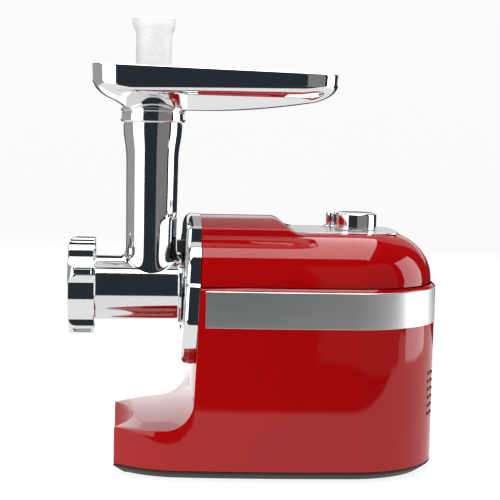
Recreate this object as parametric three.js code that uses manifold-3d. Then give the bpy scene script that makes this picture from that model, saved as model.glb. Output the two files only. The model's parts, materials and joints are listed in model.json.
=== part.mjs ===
// Electric meat grinder, in millimetres.
// +Z is up, +X points from the meat outlet to the rear of the motor body, and the origin lies on
// the surface that the grinder stands on, under the middle of its outline.
import * as THREE from 'three';
import { mergeVertices } from 'three/addons/utils/BufferGeometryUtils.js';
import Module from 'manifold-3d';

const wasm = await Module();
wasm.setup();

// ---------------------------------------------------------------- driving dimensions
const GAP = 0.3;                 // clearance between neighbours that touch
const RUNNING = 0.4;             // radial clearance of a turning fit on these faceted solids

// Body
const HALF_WIDTH = 84.4;
const REAR_X = 156;
const REAR_CORNER = 76;          // plan radius of the rear corners
const TIP = [-114, 53];          // outer end of each prong of the base arm
const ARM_HOLLOW_X = -98;        // deepest point of the hollow between the prongs
const SKIN = 2.6;                // thickness of the moulded covers
const FRONT = { x: -46.6, lean: 0.041 };   // front wall at the head axis, and its slope
const ARM = { radius: 25, z: 40.5, tipZ: 38.6 };
const HOUSING_Z = [8.6, 155.4];
const LEDGE_Z = 158.2;
const COVER = { inset: 3.8, z: 158.5, shoulderZ: 160.5, topZ: 199.4, shoulder: 42 };
const COWL = { topZ: 211, endX: 17, footX: 35, toeX: 46, halfWidth: 60, edgeZ: 202.3, creaseZ: 184 };
const PANEL = { x: [34, 122], halfWidth: 35.5, corner: 16, thickness: 1.2 };
const BAND = { z: [125.4, 155.1], frontX: -42, thickness: 1.3, proud: 0.5 };
const BEZEL = { bottomZ: 89.5, corner: 44, depth: 12.5, edge: 5.5, lipOpening: 36.5, opening: 42.6 };

// Base
const BASE = { z: [1.4, 8.3], chamfer: 7, floor: 2.6 };
const FEET = [[-86, -50], [-86, 50], [112, -54], [112, 54]];
const FOOT = { radius: 9, height: 2.3 };
const SCREWS = [[-52, -68], [-52, 68], [96, -66], [96, 66]];

// Head
const HEAD_Z = 147.5;
const BARREL = { frontX: -131.5, rearX: -58.5, frontRadius: 27.3, rearRadius: 26.6, bore: 23 };
const MOUTH = { frontX: -148.5, rearX: -134.5, radius: 34, seatX: -146, seat: 31.4, chamber: 29.4 };
const SPIGOT = { x: [-58.5, -38], radius: 27, wallX: -43.5 };
const LUG = { x: [-51.6, -47.4], radius: 32, angle: 30, count: 3 };
const TUBE = { x: -85, topZ: 297, bore: 18.9, footRadius: 21.1, neckRadius: 21.9, headRadius: 24.6 };
const NUT = { x: [-154, -131.6], radius: 39.3, thread: 34.5, outlet: 27, edge: { x: 7, radius: 8 } };
const NUT_GRIP = { radius: 43.6, count: 5, at: 83.8, halfTop: 4.7, halfFoot: 12.2 };   // angles in degrees
const NUT_POCKET = { x: [-148.3, -134.3], halfWidth: 2.4, floor: 41.2 };
const PLATE = { x: [-151.2, -146.2], radius: 31 };
const KNIFE = { x: [-145.9, -140.4], reach: 27.5 };
const AUGER = { x: [-139.6, -44.5], radius: 22.2, core: 9, turns: 3.25 };
const TRAY = { x: [-136, 66.4], halfWidth: 65, corner: 28.5, sheet: 1.5, rimZ: [334.7, 329.6] };
const SKIRT = { outer: 27.2, inner: 25.1, z: [287.6, 304] };
const PUSHER = { x: -85, topZ: 375, lip: 18.5, upper: 15, lower: 18.2, bottomZ: 181, flangeZ: 303.5 };

// Drive
const MOTOR_Z = 84;
const TRAIN = {
  motor: { teeth: 9, wheel: 36, module: 1.2 },
  middle: { teeth: 10, wheel: 36, module: 1.5 },
  last: { teeth: 10, wheel: 40, module: 1.75 },
};
const CENTRE_SLACK = 0.12;       // added to each centre distance, per unit of module
const LAYER = { last: [-16, -6], middle: [-4.5, 2.5], motor: [4, 10] };
const CASE = { x: [-20.5, 17], y: [-43, 55], z: [58, 190], wall: 3, corner: 18, noseX: -31.2 };

// Controls
const KNOB = { x: 88.5, radius: 17.9, z: [199.9, 214] };
const BUTTON = { x: 71, y: 25, radius: 4.4, z: [197, 212.6] };

// ---------------------------------------------------------------- solids
const ALONG_X = new THREE.Matrix4().makeBasis(
  new THREE.Vector3(0, 1, 0), new THREE.Vector3(0, 0, 1), new THREE.Vector3(1, 0, 0));
const ALONG_Y = new THREE.Matrix4().makeBasis(
  new THREE.Vector3(1, 0, 0), new THREE.Vector3(0, 0, 1), new THREE.Vector3(0, -1, 0));
const LATHE_TO_Z = new THREE.Matrix4().makeRotationX(Math.PI / 2);
const LATHE_TO_X = new THREE.Matrix4().makeRotationZ(-Math.PI / 2);

function signedVolume(positions, corners) {
  const [a, b, c] = [new THREE.Vector3(), new THREE.Vector3(), new THREE.Vector3()];
  let volume = 0;
  for (let i = 0; i < corners.length; i += 3) {
    a.fromArray(positions, corners[i] * 3);
    b.fromArray(positions, corners[i + 1] * 3);
    c.fromArray(positions, corners[i + 2] * 3);
    volume += a.dot(b.cross(c)) / 6;
  }
  return volume;
}

// A three.js geometry as a solid that can be joined and cut.
function solid(geometry) {
  const bare = geometry.clone();
  bare.deleteAttribute('normal');
  bare.deleteAttribute('uv');
  const merged = mergeVertices(bare, 1e-4);
  const positions = merged.attributes.position.array;
  const corners = [];
  for (let i = 0; i < merged.index.count; i += 3) {
    const [a, b, c] = [0, 1, 2].map((k) => merged.index.getX(i + k));
    const flat = a === b || b === c || c === a;
    if (!flat) corners.push(a, b, c);
  }
  const triVerts = new Uint32Array(corners);
  if (signedVolume(positions, triVerts) < 0) {
    for (let i = 0; i < triVerts.length; i += 3) {
      [triVerts[i], triVerts[i + 1]] = [triVerts[i + 1], triVerts[i]];
    }
  }
  const vertProperties = new Float32Array(positions);
  return new wasm.Manifold(new wasm.Mesh({ numProp: 3, vertProperties, triVerts }));
}

function toGeometry(body) {
  const mesh = body.getMesh();
  const geometry = new THREE.BufferGeometry();
  geometry.setAttribute('position', new THREE.BufferAttribute(mesh.vertProperties, 3));
  geometry.setIndex(new THREE.BufferAttribute(mesh.triVerts, 1));
  geometry.computeVertexNormals();
  return geometry;
}

const join = (...bodies) => bodies.reduce((whole, next) => whole.add(next));
const cut = (body, ...tools) => tools.reduce((rest, tool) => rest.subtract(tool), body);
const common = (...bodies) => bodies.reduce((whole, next) => whole.intersect(next));

function box([x0, x1], [y0, y1], [z0, z1]) {
  const geometry = new THREE.BoxGeometry(x1 - x0, y1 - y0, z1 - z0);
  return solid(geometry.translate((x0 + x1) / 2, (y0 + y1) / 2, (z0 + z1) / 2));
}

const CURVE_SEGMENTS = 4;        // straight pieces in a curve of an outline; an arc gets twice as many

function prism(shape, depth, curveSegments = CURVE_SEGMENTS) {
  return new THREE.ExtrudeGeometry(shape, { depth, bevelEnabled: false, curveSegments });
}

// An outline in the YZ plane, carried along X.
function alongX(shape, [x0, x1], curveSegments = CURVE_SEGMENTS) {
  return solid(prism(shape, x1 - x0, curveSegments).applyMatrix4(ALONG_X).translate(x0, 0, 0));
}

// An outline in the XZ plane, carried along Y.
function alongY(shape, [y0, y1]) {
  return solid(prism(shape, y1 - y0).applyMatrix4(ALONG_Y).translate(0, y1, 0));
}

function alongZ(shape, [z0, z1]) {
  return solid(prism(shape, z1 - z0).translate(0, 0, z0));
}

// A closed outline of [distance along the axis, radius], turned about the X or the Z axis.
function turned(outline, toAxis, segments) {
  const closed = [...outline, outline[0]].map(([along, radius]) => new THREE.Vector2(radius, along));
  return solid(new THREE.LatheGeometry(closed, segments).applyMatrix4(toAxis));
}
const turnedX = (outline, segments = 24) => turned(outline, LATHE_TO_X, segments);
const turnedZ = (outline, segments = 24) => turned(outline, LATHE_TO_Z, segments);

function rod(radius, [x0, x1], [y, z] = [0, 0], segments = 12) {
  const geometry = new THREE.CylinderGeometry(radius, radius, x1 - x0, segments);
  return solid(geometry.applyMatrix4(LATHE_TO_X).translate((x0 + x1) / 2, y, z));
}

function post(radius, [z0, z1], [x, y] = [0, 0], segments = 12) {
  const geometry = new THREE.CylinderGeometry(radius, radius, z1 - z0, segments);
  return solid(geometry.applyMatrix4(LATHE_TO_Z).translate(x, y, (z0 + z1) / 2));
}

function ring(outer, inner, span, segments = 16) {
  const [from, to] = span;
  return turnedX([[from, inner], [to, inner], [to, outer], [from, outer]], segments);
}

function ringZ(outer, inner, span, segments = 16) {
  const [from, to] = span;
  return turnedZ([[from, inner], [to, inner], [to, outer], [from, outer]], segments);
}

// Part of a ring about the X axis, between two angles in degrees.
function ringSector(outer, inner, span, fromAngle, toAngle) {
  const [from, to] = [fromAngle, toAngle].map(THREE.MathUtils.degToRad);
  const shape = new THREE.Shape();
  shape.absarc(0, 0, outer, from, to, false);
  shape.absarc(0, 0, inner, to, from, true);
  return alongX(shape, span, Math.ceil((toAngle - fromAngle) / 24));
}

// ---------------------------------------------------------------- materials and placing
const FINISHES = {
  red: { color: 0xa50510, roughness: 0.16, metalness: 0.05 },
  chrome: { color: 0xdcdfe2, roughness: 0.06, metalness: 1 },
  brushed: { color: 0x9a9c9e, roughness: 0.34, metalness: 1 },
  castMetal: { color: 0xb9bcc0, roughness: 0.22, metalness: 1 },
  steel: { color: 0xa8abae, roughness: 0.3, metalness: 1 },
  silverPanel: { color: 0xc9ccce, roughness: 0.25, metalness: 0.7 },
  black: { color: 0x26272a, roughness: 0.5, metalness: 0 },
  rubber: { color: 0x141414, roughness: 0.85, metalness: 0 },
  milky: { color: 0xeef1f2, roughness: 0.4, metalness: 0 },
  nylon: { color: 0xe6e2d6, roughness: 0.5, metalness: 0 },
  lamination: { color: 0x6d7175, roughness: 0.55, metalness: 0.8 },
  copper: { color: 0xb06a38, roughness: 0.4, metalness: 0.9 },
  board: { color: 0x1d5a35, roughness: 0.6, metalness: 0 },
};

function part(parent, name, body, finish) {
  const mesh = new THREE.Mesh(toGeometry(body), new THREE.MeshStandardMaterial(FINISHES[finish]));
  mesh.name = name;
  parent.add(mesh);
  return mesh;
}

function group(parent, x = 0, y = 0, z = 0) {
  const assembly = new THREE.Group();
  assembly.position.set(x, y, z);
  parent.add(assembly);
  return assembly;
}

// ---------------------------------------------------------------- outlines of the body
// Plan of the housing and the base: two prongs in front, bowed sides and a round rear.
function bodyPlan() {
  const [tipX, tipY] = TIP;
  const bow = HALF_WIDTH - 4.4;
  const cornerX = REAR_X - REAR_CORNER;
  const cornerY = HALF_WIDTH - REAR_CORNER;
  const hollow = ARM_HOLLOW_X - tipX;
  const hollowRadius = (tipY ** 2 + hollow ** 2) / (2 * hollow);
  const hollowAngle = Math.asin(tipY / hollowRadius);
  const plan = new THREE.Path();
  plan.moveTo(tipX, -tipY);
  plan.quadraticCurveTo(-90, -bow + 2, -61, -bow);
  plan.quadraticCurveTo(-11, -HALF_WIDTH, 44, -HALF_WIDTH);
  plan.lineTo(cornerX, -HALF_WIDTH);
  plan.absarc(cornerX, -cornerY, REAR_CORNER, -Math.PI / 2, 0);
  plan.absarc(cornerX, cornerY, REAR_CORNER, 0, Math.PI / 2);
  plan.lineTo(44, HALF_WIDTH);
  plan.quadraticCurveTo(-11, HALF_WIDTH, -61, bow);
  plan.quadraticCurveTo(-90, bow - 2, tipX, tipY);
  plan.absarc(ARM_HOLLOW_X - hollowRadius, 0, hollowRadius, hollowAngle, -hollowAngle, true);
  return distinct(plan.getPoints(CURVE_SEGMENTS));
}

function distinct(points) {
  return points.filter((point, i) => point.distanceTo(points.at(i - 1)) > 0.01);
}

// Moves each side of a closed outline inwards; the outline runs anticlockwise.
function insetPoints(points, distance) {
  return points.map((point, i) => {
    const before = point.clone().sub(points.at(i - 1)).normalize();
    const after = points[(i + 1) % points.length].clone().sub(point).normalize();
    const inward = new THREE.Vector2(-before.y - after.y, before.x + after.x).normalize();
    const reach = distance / inward.dot(new THREE.Vector2(-before.y, before.x));
    return point.clone().addScaledVector(inward, reach);
  });
}

const planShape = (inset) => new THREE.Shape(insetPoints(bodyPlan(), inset));

// Everything behind the sloping front wall, the fillet under it and the top of the arm.
function sideShape(inset) {
  const frontAt = (z) => FRONT.x + (z - HEAD_Z) * FRONT.lean + inset;
  const radius = ARM.radius + inset;
  const centreZ = ARM.z + ARM.radius;
  const centreX = frontAt(centreZ) - radius;
  const side = new THREE.Shape();
  side.moveTo(TIP[0] - 5, -5);
  side.lineTo(REAR_X + 5, -5);
  side.lineTo(REAR_X + 5, 230);
  side.lineTo(frontAt(230), 230);
  side.absarc(centreX, centreZ, radius, 0, -Math.PI / 2, true);
  side.lineTo(TIP[0] - 5, ARM.tipZ - inset);
  return side;
}

function coverPlan(inset) {
  const half = HALF_WIDTH - COVER.inset - inset;
  const rear = REAR_X - COVER.inset - inset;
  const corner = REAR_CORNER - COVER.inset - inset;
  const plan = new THREE.Path();
  plan.moveTo(-80, half);
  plan.lineTo(-80, -half);
  plan.absarc(rear - corner, corner - half, corner, -Math.PI / 2, 0);
  plan.absarc(rear - corner, half - corner, corner, 0, Math.PI / 2);
  return new THREE.Shape(distinct(plan.getPoints(CURVE_SEGMENTS)));
}

// The cover's round-shouldered dome: its plan shrinks along a quarter ellipse towards the top.
function coverDome(inset, topDrop) {
  const depth = COVER.shoulderZ - HOUSING_Z[1];
  const geometry = new THREE.ExtrudeGeometry(coverPlan(inset), {
    depth,
    bevelThickness: COVER.topZ - COVER.shoulderZ - topDrop,
    bevelSize: COVER.shoulder,
    bevelOffset: -COVER.shoulder,
    bevelSegments: 5,
  });
  return solid(geometry.translate(0, 0, HOUSING_Z[1]));
}

function cowlSolid(inset) {
  const half = COWL.halfWidth - inset;
  const drop = COWL.topZ - COWL.edgeZ;
  const edgeY = half - 8;
  const crown = (edgeY ** 2 + drop ** 2) / (2 * drop);
  const crownAngle = Math.asin(edgeY / crown);
  const section = new THREE.Shape();
  section.moveTo(-half, COWL.creaseZ - 20);
  section.lineTo(half, COWL.creaseZ - 20);
  section.lineTo(half, COWL.creaseZ);
  section.quadraticCurveTo(half, COWL.edgeZ - inset - 2, edgeY, COWL.edgeZ - inset);
  section.absarc(0, COWL.topZ - inset - crown, crown, Math.PI / 2 - crownAngle,
    Math.PI / 2 + crownAngle, false);
  section.quadraticCurveTo(-half, COWL.edgeZ - inset - 2, -half, COWL.creaseZ);
  const profile = new THREE.Shape();
  profile.moveTo(-90, COWL.creaseZ - 20);
  profile.lineTo(COWL.toeX - inset, COWL.creaseZ - 20);
  profile.lineTo(COWL.toeX - inset, COWL.creaseZ + 8);
  profile.quadraticCurveTo(COWL.toeX - inset, COVER.topZ - inset, COWL.footX - inset, COVER.topZ - inset);
  profile.bezierCurveTo(COWL.footX - 9 - inset, COVER.topZ + 1 - inset, COWL.endX + 7 - inset,
    COWL.topZ - 1 - inset, COWL.endX - inset, COWL.topZ - inset);
  profile.lineTo(-90, COWL.topZ - inset);
  return common(alongX(section, [-80, COWL.toeX]), alongY(profile, [-90, 90]));
}

// ---------------------------------------------------------------- housing and covers
function headOpening(radius) {
  return rod(radius, [-70, -20], [0, HEAD_Z], 24);
}

// A boss for each base screw, tied to the side wall by a rib.
function screwBosses() {
  return SCREWS.map(([x, y]) => {
    const rib = box([x - 1.5, x + 1.5], y > 0 ? [y, HALF_WIDTH] : [-HALF_WIDTH, y], [HOUSING_Z[0], 28]);
    return cut(join(post(6, [HOUSING_Z[0], 30], [x, y], 8), rib), post(2.2, [0, 26], [x, y], 8));
  });
}

function ventSlots() {
  const slots = [];
  for (let i = 0; i < 6; i += 1) {
    const z = 48 + i * 6.8;
    slots.push(box([120, REAR_X + 5], [-46, 46], [z, z + 3.4]));
  }
  return slots;
}

function lowerHousing() {
  const outer = common(alongZ(planShape(0), [HOUSING_Z[0], LEDGE_Z]), alongY(sideShape(0), [-95, 95]));
  const hollow = common(alongZ(planShape(SKIN), [0, 170]), alongY(sideShape(SKIN), [-95, 95]));
  const groove = cut(
    alongZ(new THREE.Shape(insetPoints(bodyPlan(), -5)), [BAND.z[0] - GAP, BAND.z[1] + GAP]),
    alongZ(planShape(BAND.thickness + GAP - BAND.proud), [0, 200]),
    box([-130, BAND.frontX - GAP], [-95, 95], [0, 200]));
  const shell = cut(outer, hollow, groove, headOpening(38), ...ventSlots(),
    rod(8.3, [120, 170], [0, 28]));
  return join(shell, ...screwBosses().map((boss) => common(boss, outer)));
}

function upperCover() {
  const front = alongY(sideShape(0), [-95, 95]);
  const frontInner = alongY(sideShape(SKIN), [-95, 95]);
  const above = box([-100, 170], [-95, 95], [COVER.z, 230]);
  const outer = common(join(coverDome(0, 0), cowlSolid(0)), front, above);
  const inner = common(join(coverDome(SKIN, SKIN + 1.2), cowlSolid(SKIN)), frontInner);
  const recess = alongZ(panelShape(-GAP), [COVER.topZ - PANEL.thickness, 205]);
  return cut(outer, inner, recess, headOpening(38), post(5, [180, 210], [KNOB.x, 0]),
    post(BUTTON.radius + 0.8, [180, 210], [BUTTON.x, BUTTON.y]));
}

function panelShape(inset) {
  const [x0, x1] = [PANEL.x[0] + inset, PANEL.x[1] - inset];
  const half = PANEL.halfWidth - inset;
  const corner = PANEL.corner;
  const outline = new THREE.Shape();
  outline.moveTo(x0, half);
  outline.lineTo(x0, -half);
  outline.absarc(x1 - corner, corner - half, corner, -Math.PI / 2, 0);
  outline.absarc(x1 - corner, half - corner, corner, 0, Math.PI / 2);
  return outline;
}

function controlPanel() {
  const bottom = COVER.topZ - PANEL.thickness + GAP;
  return cut(alongZ(panelShape(0), [bottom, COVER.topZ + 0.2]),
    post(5, [180, 210], [KNOB.x, 0]),
    post(BUTTON.radius + 0.8, [180, 210], [BUTTON.x, BUTTON.y]));
}

// Brushed strip set in the groove round the sides and the rear.
function trimBand() {
  const outer = alongZ(planShape(-BAND.proud), BAND.z);
  const inner = alongZ(planShape(BAND.thickness - BAND.proud), [0, 200]);
  return cut(outer, inner, box([-130, BAND.frontX], [-95, 95], [0, 200]));
}

// Polished front plate, in its own leaning frame: X along the normal of the front wall.
function bezelSection() {
  const half = HALF_WIDTH - 3;
  const coverHalf = half - 2;
  const [bottom, corner] = [BEZEL.bottomZ - HEAD_Z, BEZEL.corner];
  const ledge = LEDGE_Z - HEAD_Z;
  const [shoulder, top] = [COVER.shoulderZ - HEAD_Z, COVER.topZ - HEAD_Z];
  const [edge, crest] = [COWL.edgeZ - HEAD_Z, COWL.topZ - HEAD_Z];
  const section = new THREE.Shape();
  section.absarc(corner - half, bottom + corner, corner, Math.PI, 1.5 * Math.PI);
  section.absarc(half - corner, bottom + corner, corner, -Math.PI / 2, 0);
  section.lineTo(half, ledge);
  section.lineTo(coverHalf, shoulder);
  section.quadraticCurveTo(coverHalf - 2, top - 16, COWL.halfWidth, top - 7);
  section.quadraticCurveTo(COWL.halfWidth - 1, edge - 1, COWL.halfWidth - 8, edge);
  section.quadraticCurveTo((COWL.halfWidth - 8) / 2, crest, 0, crest);
  section.quadraticCurveTo((8 - COWL.halfWidth) / 2, crest, 8 - COWL.halfWidth, edge);
  section.quadraticCurveTo(1 - COWL.halfWidth, edge - 1, -COWL.halfWidth, top - 7);
  section.quadraticCurveTo(2 - coverHalf, top - 16, -coverHalf, shoulder);
  section.lineTo(-half, ledge);
  return section;
}

function frontBezel() {
  const rimDepth = BEZEL.depth - BEZEL.edge;
  const geometry = new THREE.ExtrudeGeometry(bezelSection(), {
    depth: rimDepth,
    bevelThickness: BEZEL.edge,
    bevelSize: BEZEL.edge,
    bevelOffset: -BEZEL.edge,
    bevelSegments: 2,
    curveSegments: CURVE_SEGMENTS,
  });
  const block = solid(geometry.applyMatrix4(ALONG_X).translate(-rimDepth, 0, 0));
  const plate = common(block, box([-20, -GAP], [-90, 90], [-90, 90]));
  const pocket = rod(BEZEL.opening, [2 - BEZEL.depth, 10], [0, 0], 24);
  const mouth = rod(BEZEL.lipOpening, [-20, 10], [0, 0], 24);
  const tabSlot = ringSector(42.4, 30, [-20, 10], 36, 101);
  return cut(plate, pocket, mouth, tabSlot);
}

// ---------------------------------------------------------------- base
function basePlate() {
  const depth = BASE.z[1] - BASE.z[0] - 2;
  const geometry = new THREE.ExtrudeGeometry(planShape(0), {
    depth: 30,
    bevelThickness: depth,
    bevelSize: BASE.chamfer,
    bevelOffset: -BASE.chamfer,
    bevelSegments: 1,
  });
  const block = solid(geometry.translate(0, 0, BASE.z[0] + depth));
  const dish = common(block, box([-130, 170], [-95, 95], [0, BASE.z[1]]));
  const hollow = alongZ(planShape(BASE.chamfer + 3), [BASE.z[0] + BASE.floor, 20]);
  const seats = FEET.map((place) => post(FOOT.radius + GAP, [0, FOOT.height + GAP], place, 16));
  const bosses = SCREWS.map((place) => post(6, BASE.z, place, 8));
  const holes = SCREWS.map((place) => join(post(2.5, [0, 20], place, 8), post(4.2, [0, 3.8], place, 8)));
  return cut(join(cut(dish, hollow), ...bosses.map((boss) => common(boss, dish))), ...seats, ...holes);
}

function footSolid() {
  const { radius, height } = FOOT;
  return turnedZ([[0, 0], [0, radius - 1], [1, radius], [height, radius], [height, 0]], 16);
}

function baseScrew() {
  return turnedZ([[1.9, 0], [1.9, 3.6], [3.4, 3.6], [3.4, 1.7], [24, 1.7], [24, 0]], 8);
}

// ---------------------------------------------------------------- head
function grinderHead() {
  const casting = turnedX([
    [MOUTH.frontX, 0], [MOUTH.frontX, MOUTH.radius], [MOUTH.rearX, MOUTH.radius],
    [BARREL.frontX, BARREL.frontRadius], [BARREL.rearX - 3, BARREL.rearRadius],
    [BARREL.rearX - 3, 30], [BARREL.rearX - 0.6, 30], [BARREL.rearX - 0.6, SPIGOT.radius],
    [SPIGOT.x[1], SPIGOT.radius], [SPIGOT.x[1], 0]], 28);
  const bore = turnedX([
    [MOUTH.frontX - 5, 0], [MOUTH.frontX - 5, MOUTH.seat], [MOUTH.seatX, MOUTH.seat],
    [MOUTH.seatX, MOUTH.chamber], [-139.9, MOUTH.chamber], [-139.9, BARREL.bore],
    [SPIGOT.wallX, BARREL.bore], [SPIGOT.wallX, 9.3], [SPIGOT.x[1] + 5, 9.3], [SPIGOT.x[1] + 5, 0]], 24);
  const local = (z) => z - HEAD_Z;
  const tube = turnedZ([[0, 0], [0, TUBE.footRadius], [local(195), TUBE.footRadius],
    [local(262), TUBE.neckRadius], [local(279), TUBE.headRadius], [local(TUBE.topZ), TUBE.headRadius],
    [local(TUBE.topZ), 0]], 24);
  const throat = post(TUBE.bore, [0, local(TUBE.topZ) + 5], [0, 0], 24);
  const lugs = lugAngles(60).map((middle) => ringSector(LUG.radius, SPIGOT.radius - 2, LUG.x,
    middle - LUG.angle / 2, middle + LUG.angle / 2));
  const key = box([-150.4, -144], [-1.6, 1.6], [28.5, 32]);
  return cut(join(casting, tube.translate(TUBE.x, 0, 0), ...lugs), bore,
    throat.translate(TUBE.x, 0, 0), key);
}

function lugAngles(first) {
  return Array.from({ length: LUG.count }, (_, i) => first + (i * 360) / LUG.count - 30);
}

function augerBush() {
  return ring(8.9, 7.7, [SPIGOT.wallX + 0.2, SPIGOT.x[1] - 0.2], 16);
}

// The screw: one broad lobe on a core, twisted as it runs along the axis.
function augerSolid() {
  const [x0, x1] = AUGER.x;
  const section = new THREE.Shape();
  const flightAngle = 0.62;
  section.absarc(0, 0, AUGER.core, flightAngle * 1.6, 2 * Math.PI - flightAngle * 1.6, false);
  section.absarc(0, 0, AUGER.radius, -flightAngle, flightAngle, false);
  const stepsPerTurn = 8;
  const geometry = new THREE.ExtrudeGeometry(section, {
    depth: x1 - x0,
    steps: AUGER.turns * stepsPerTurn,
    bevelEnabled: false,
    curveSegments: 3,
  });
  const point = new THREE.Vector3();
  const axis = new THREE.Vector3(0, 0, 1);
  const place = geometry.attributes.position;
  for (let i = 0; i < place.count; i += 1) {
    point.fromBufferAttribute(place, i);
    point.applyAxisAngle(axis, (point.z / (x1 - x0)) * AUGER.turns * 2 * Math.PI);
    place.setXYZ(i, point.x, point.y, point.z);
  }
  const screw = solid(geometry.applyMatrix4(ALONG_X).translate(x0, 0, 0));
  const half = 4;
  const tail = 5;
  return join(screw,
    box([KNIFE.x[0] - 0.3, x0 + 2], [-half, half], [-half, half]),
    rod(3.4, [PLATE.x[0] + 0.4, KNIFE.x[0] + 1]),
    rod(7.2, [x1 - 1, SPIGOT.x[1] + 0.5], [0, 0], 16),
    box([SPIGOT.x[1] - 1, -27], [-tail, tail], [-tail, tail]));
}

function knifeSolid() {
  const blades = 4;
  const corners = [];
  for (let i = 0; i < blades; i += 1) {
    const middle = (i / blades) * 2 * Math.PI;
    const at = (radius, angle) => corners.push(new THREE.Vector2(
      radius * Math.cos(middle + angle), radius * Math.sin(middle + angle)));
    at(8.5, -0.55);
    at(KNIFE.reach - 1.5, -0.16);
    at(KNIFE.reach, 0.02);
    at(KNIFE.reach - 1.5, 0.2);
    at(8.5, 0.5);
  }
  const cross = alongX(new THREE.Shape(corners), KNIFE.x);
  return cut(cross, box([-160, -130], [-4.5, 4.5], [-4.5, 4.5]));
}

function cuttingPlate() {
  const disc = new THREE.Shape();
  disc.absarc(0, 0, PLATE.radius, 0, 2 * Math.PI, false);
  const addHole = (radius, distance, angle) => {
    const hole = new THREE.Path();
    hole.absarc(distance * Math.cos(angle), distance * Math.sin(angle), radius, 0, 2 * Math.PI, true);
    disc.holes.push(hole);
  };
  addHole(4.1, 0, 0);
  const rings = [{ count: 6, distance: 11.5 }, { count: 12, distance: 22 }];
  for (const { count, distance } of rings) {
    for (let i = 0; i < count; i += 1) addHole(3.5, distance, (i / count) * 2 * Math.PI);
  }
  const key = box([PLATE.x[0] - 1, PLATE.x[1] + 1], [-2, 2], [28, 32]);
  return cut(alongX(disc, PLATE.x), key);
}

// The nut is a ring with raised grips, each with a pocket in its crown; its front edge is well rounded over.
function ringNut() {
  const [x0, x1] = NUT.x;
  const grip = common(alongX(new THREE.Shape(nutOutline()), NUT.x), turnedX(nutEnvelope(), 48));
  return cut(grip, rod(NUT.thread, [PLATE.x[0] - GAP, x1 + 5], [0, 0], 28),
    rod(NUT.outlet, [x0 - 2, x1], [0, 0], 24), ...nutPockets());
}

function nutOutline() {
  const points = [];
  const add = (degrees, radius) => {
    const angle = THREE.MathUtils.degToRad(degrees);
    points.push(new THREE.Vector2(radius * Math.cos(angle), radius * Math.sin(angle)));
  };
  const step = 360 / NUT_GRIP.count;
  const gap = step - 2 * NUT_GRIP.halfFoot;
  const pieces = 5;
  for (let grip = 0; grip < NUT_GRIP.count; grip++) {
    const middle = NUT_GRIP.at + grip * step;
    add(middle - NUT_GRIP.halfTop, NUT_GRIP.radius);
    add(middle + NUT_GRIP.halfTop, NUT_GRIP.radius);
    for (let k = 0; k <= pieces; k++) add(middle + NUT_GRIP.halfFoot + (gap * k) / pieces, NUT.radius);
  }
  return points;
}

// Turned shape that holds the whole nut, as (along, radius) from the front to the rear.
function nutEnvelope() {
  const [x0, x1] = NUT.x;
  const steps = 4;
  const rounded = Array.from({ length: steps + 1 }, (_, k) => {
    const turn = ((steps - k) / steps) * (Math.PI / 2);
    return [x0 + NUT.edge.x * (1 - Math.sin(turn)), NUT_GRIP.radius - NUT.edge.radius * (1 - Math.cos(turn))];
  });
  return [[x0, 0], ...rounded, [x1, NUT_GRIP.radius], [x1, 0]];
}

function nutPockets() {
  const { x, halfWidth, floor } = NUT_POCKET;
  const high = NUT_GRIP.radius - floor + 5;
  return Array.from({ length: NUT_GRIP.count }, (_, i) => {
    const pocket = new THREE.BoxGeometry(x[1] - x[0], high, 2 * halfWidth);
    pocket.translate((x[0] + x[1]) / 2, floor + high / 2, 0);
    return solid(pocket.rotateX(THREE.MathUtils.degToRad(NUT_GRIP.at + (i * 360) / NUT_GRIP.count)));
  });
}

// ---------------------------------------------------------------- tray and pusher
function trayBlock(inset) {
  const [x0, x1] = [TRAY.x[0] + inset, TRAY.x[1] - inset];
  const half = TRAY.halfWidth - inset;
  const corner = TRAY.corner - inset;
  const plan = new THREE.Shape();
  plan.absarc(x1 - corner, corner - half, corner, -Math.PI / 2, 0);
  plan.absarc(x1 - corner, half - corner, corner, 0, Math.PI / 2);
  plan.absarc(x0 + corner, half - corner, corner, Math.PI / 2, Math.PI);
  plan.absarc(x0 + corner, corner - half, corner, Math.PI, 1.5 * Math.PI);
  const lift = inset * 1.1;
  const floorZ = (z) => z + lift;
  const side = new THREE.Shape();
  side.moveTo(x0, 350);
  side.lineTo(x0, floorZ(325));
  side.quadraticCurveTo(x0 + 2, floorZ(315.5), -124, floorZ(309.6));
  side.lineTo(-112, floorZ(301.5));
  side.quadraticCurveTo(-107, floorZ(297.4), -102, floorZ(297.2));
  side.lineTo(-58, floorZ(297.4));
  side.quadraticCurveTo(0, floorZ(297.4), 46, floorZ(306.8));
  side.quadraticCurveTo(62, floorZ(310.5), x1 - 0.6, floorZ(322));
  side.lineTo(x1, floorZ(326));
  side.lineTo(x1, 350);
  const end = new THREE.Shape();
  end.moveTo(-half, 350);
  end.lineTo(-half, floorZ(318));
  end.quadraticCurveTo(-half + 1, floorZ(313), -half + 9, floorZ(310.5));
  end.lineTo(-18, floorZ(297));
  end.lineTo(18, floorZ(297));
  end.lineTo(half - 9, floorZ(310.5));
  end.quadraticCurveTo(half - 1, floorZ(313), half, floorZ(318));
  end.lineTo(half, 350);
  return common(alongZ(plan, [280, 350]), alongY(side, [-80, 80]), alongX(end, [-150, 90]));
}

function feedTray() {
  const rim = new THREE.Shape([[-160, 280], [90, 280], [90, rimHeight(90)], [-160, rimHeight(-160)]]
    .map(([x, z]) => new THREE.Vector2(x, z)));
  const dish = common(trayBlock(0), alongY(rim, [-90, 90]));
  const skirt = post(SKIRT.outer, SKIRT.z, [TUBE.x, 0], 24);
  const socket = post(SKIRT.inner, [280, TUBE.topZ + GAP], [TUBE.x, 0], 24);
  const throat = post(TUBE.bore + 0.5, [280, 320], [TUBE.x, 0], 24);
  return cut(join(dish, skirt), trayBlock(TRAY.sheet), socket, throat);
}

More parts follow.
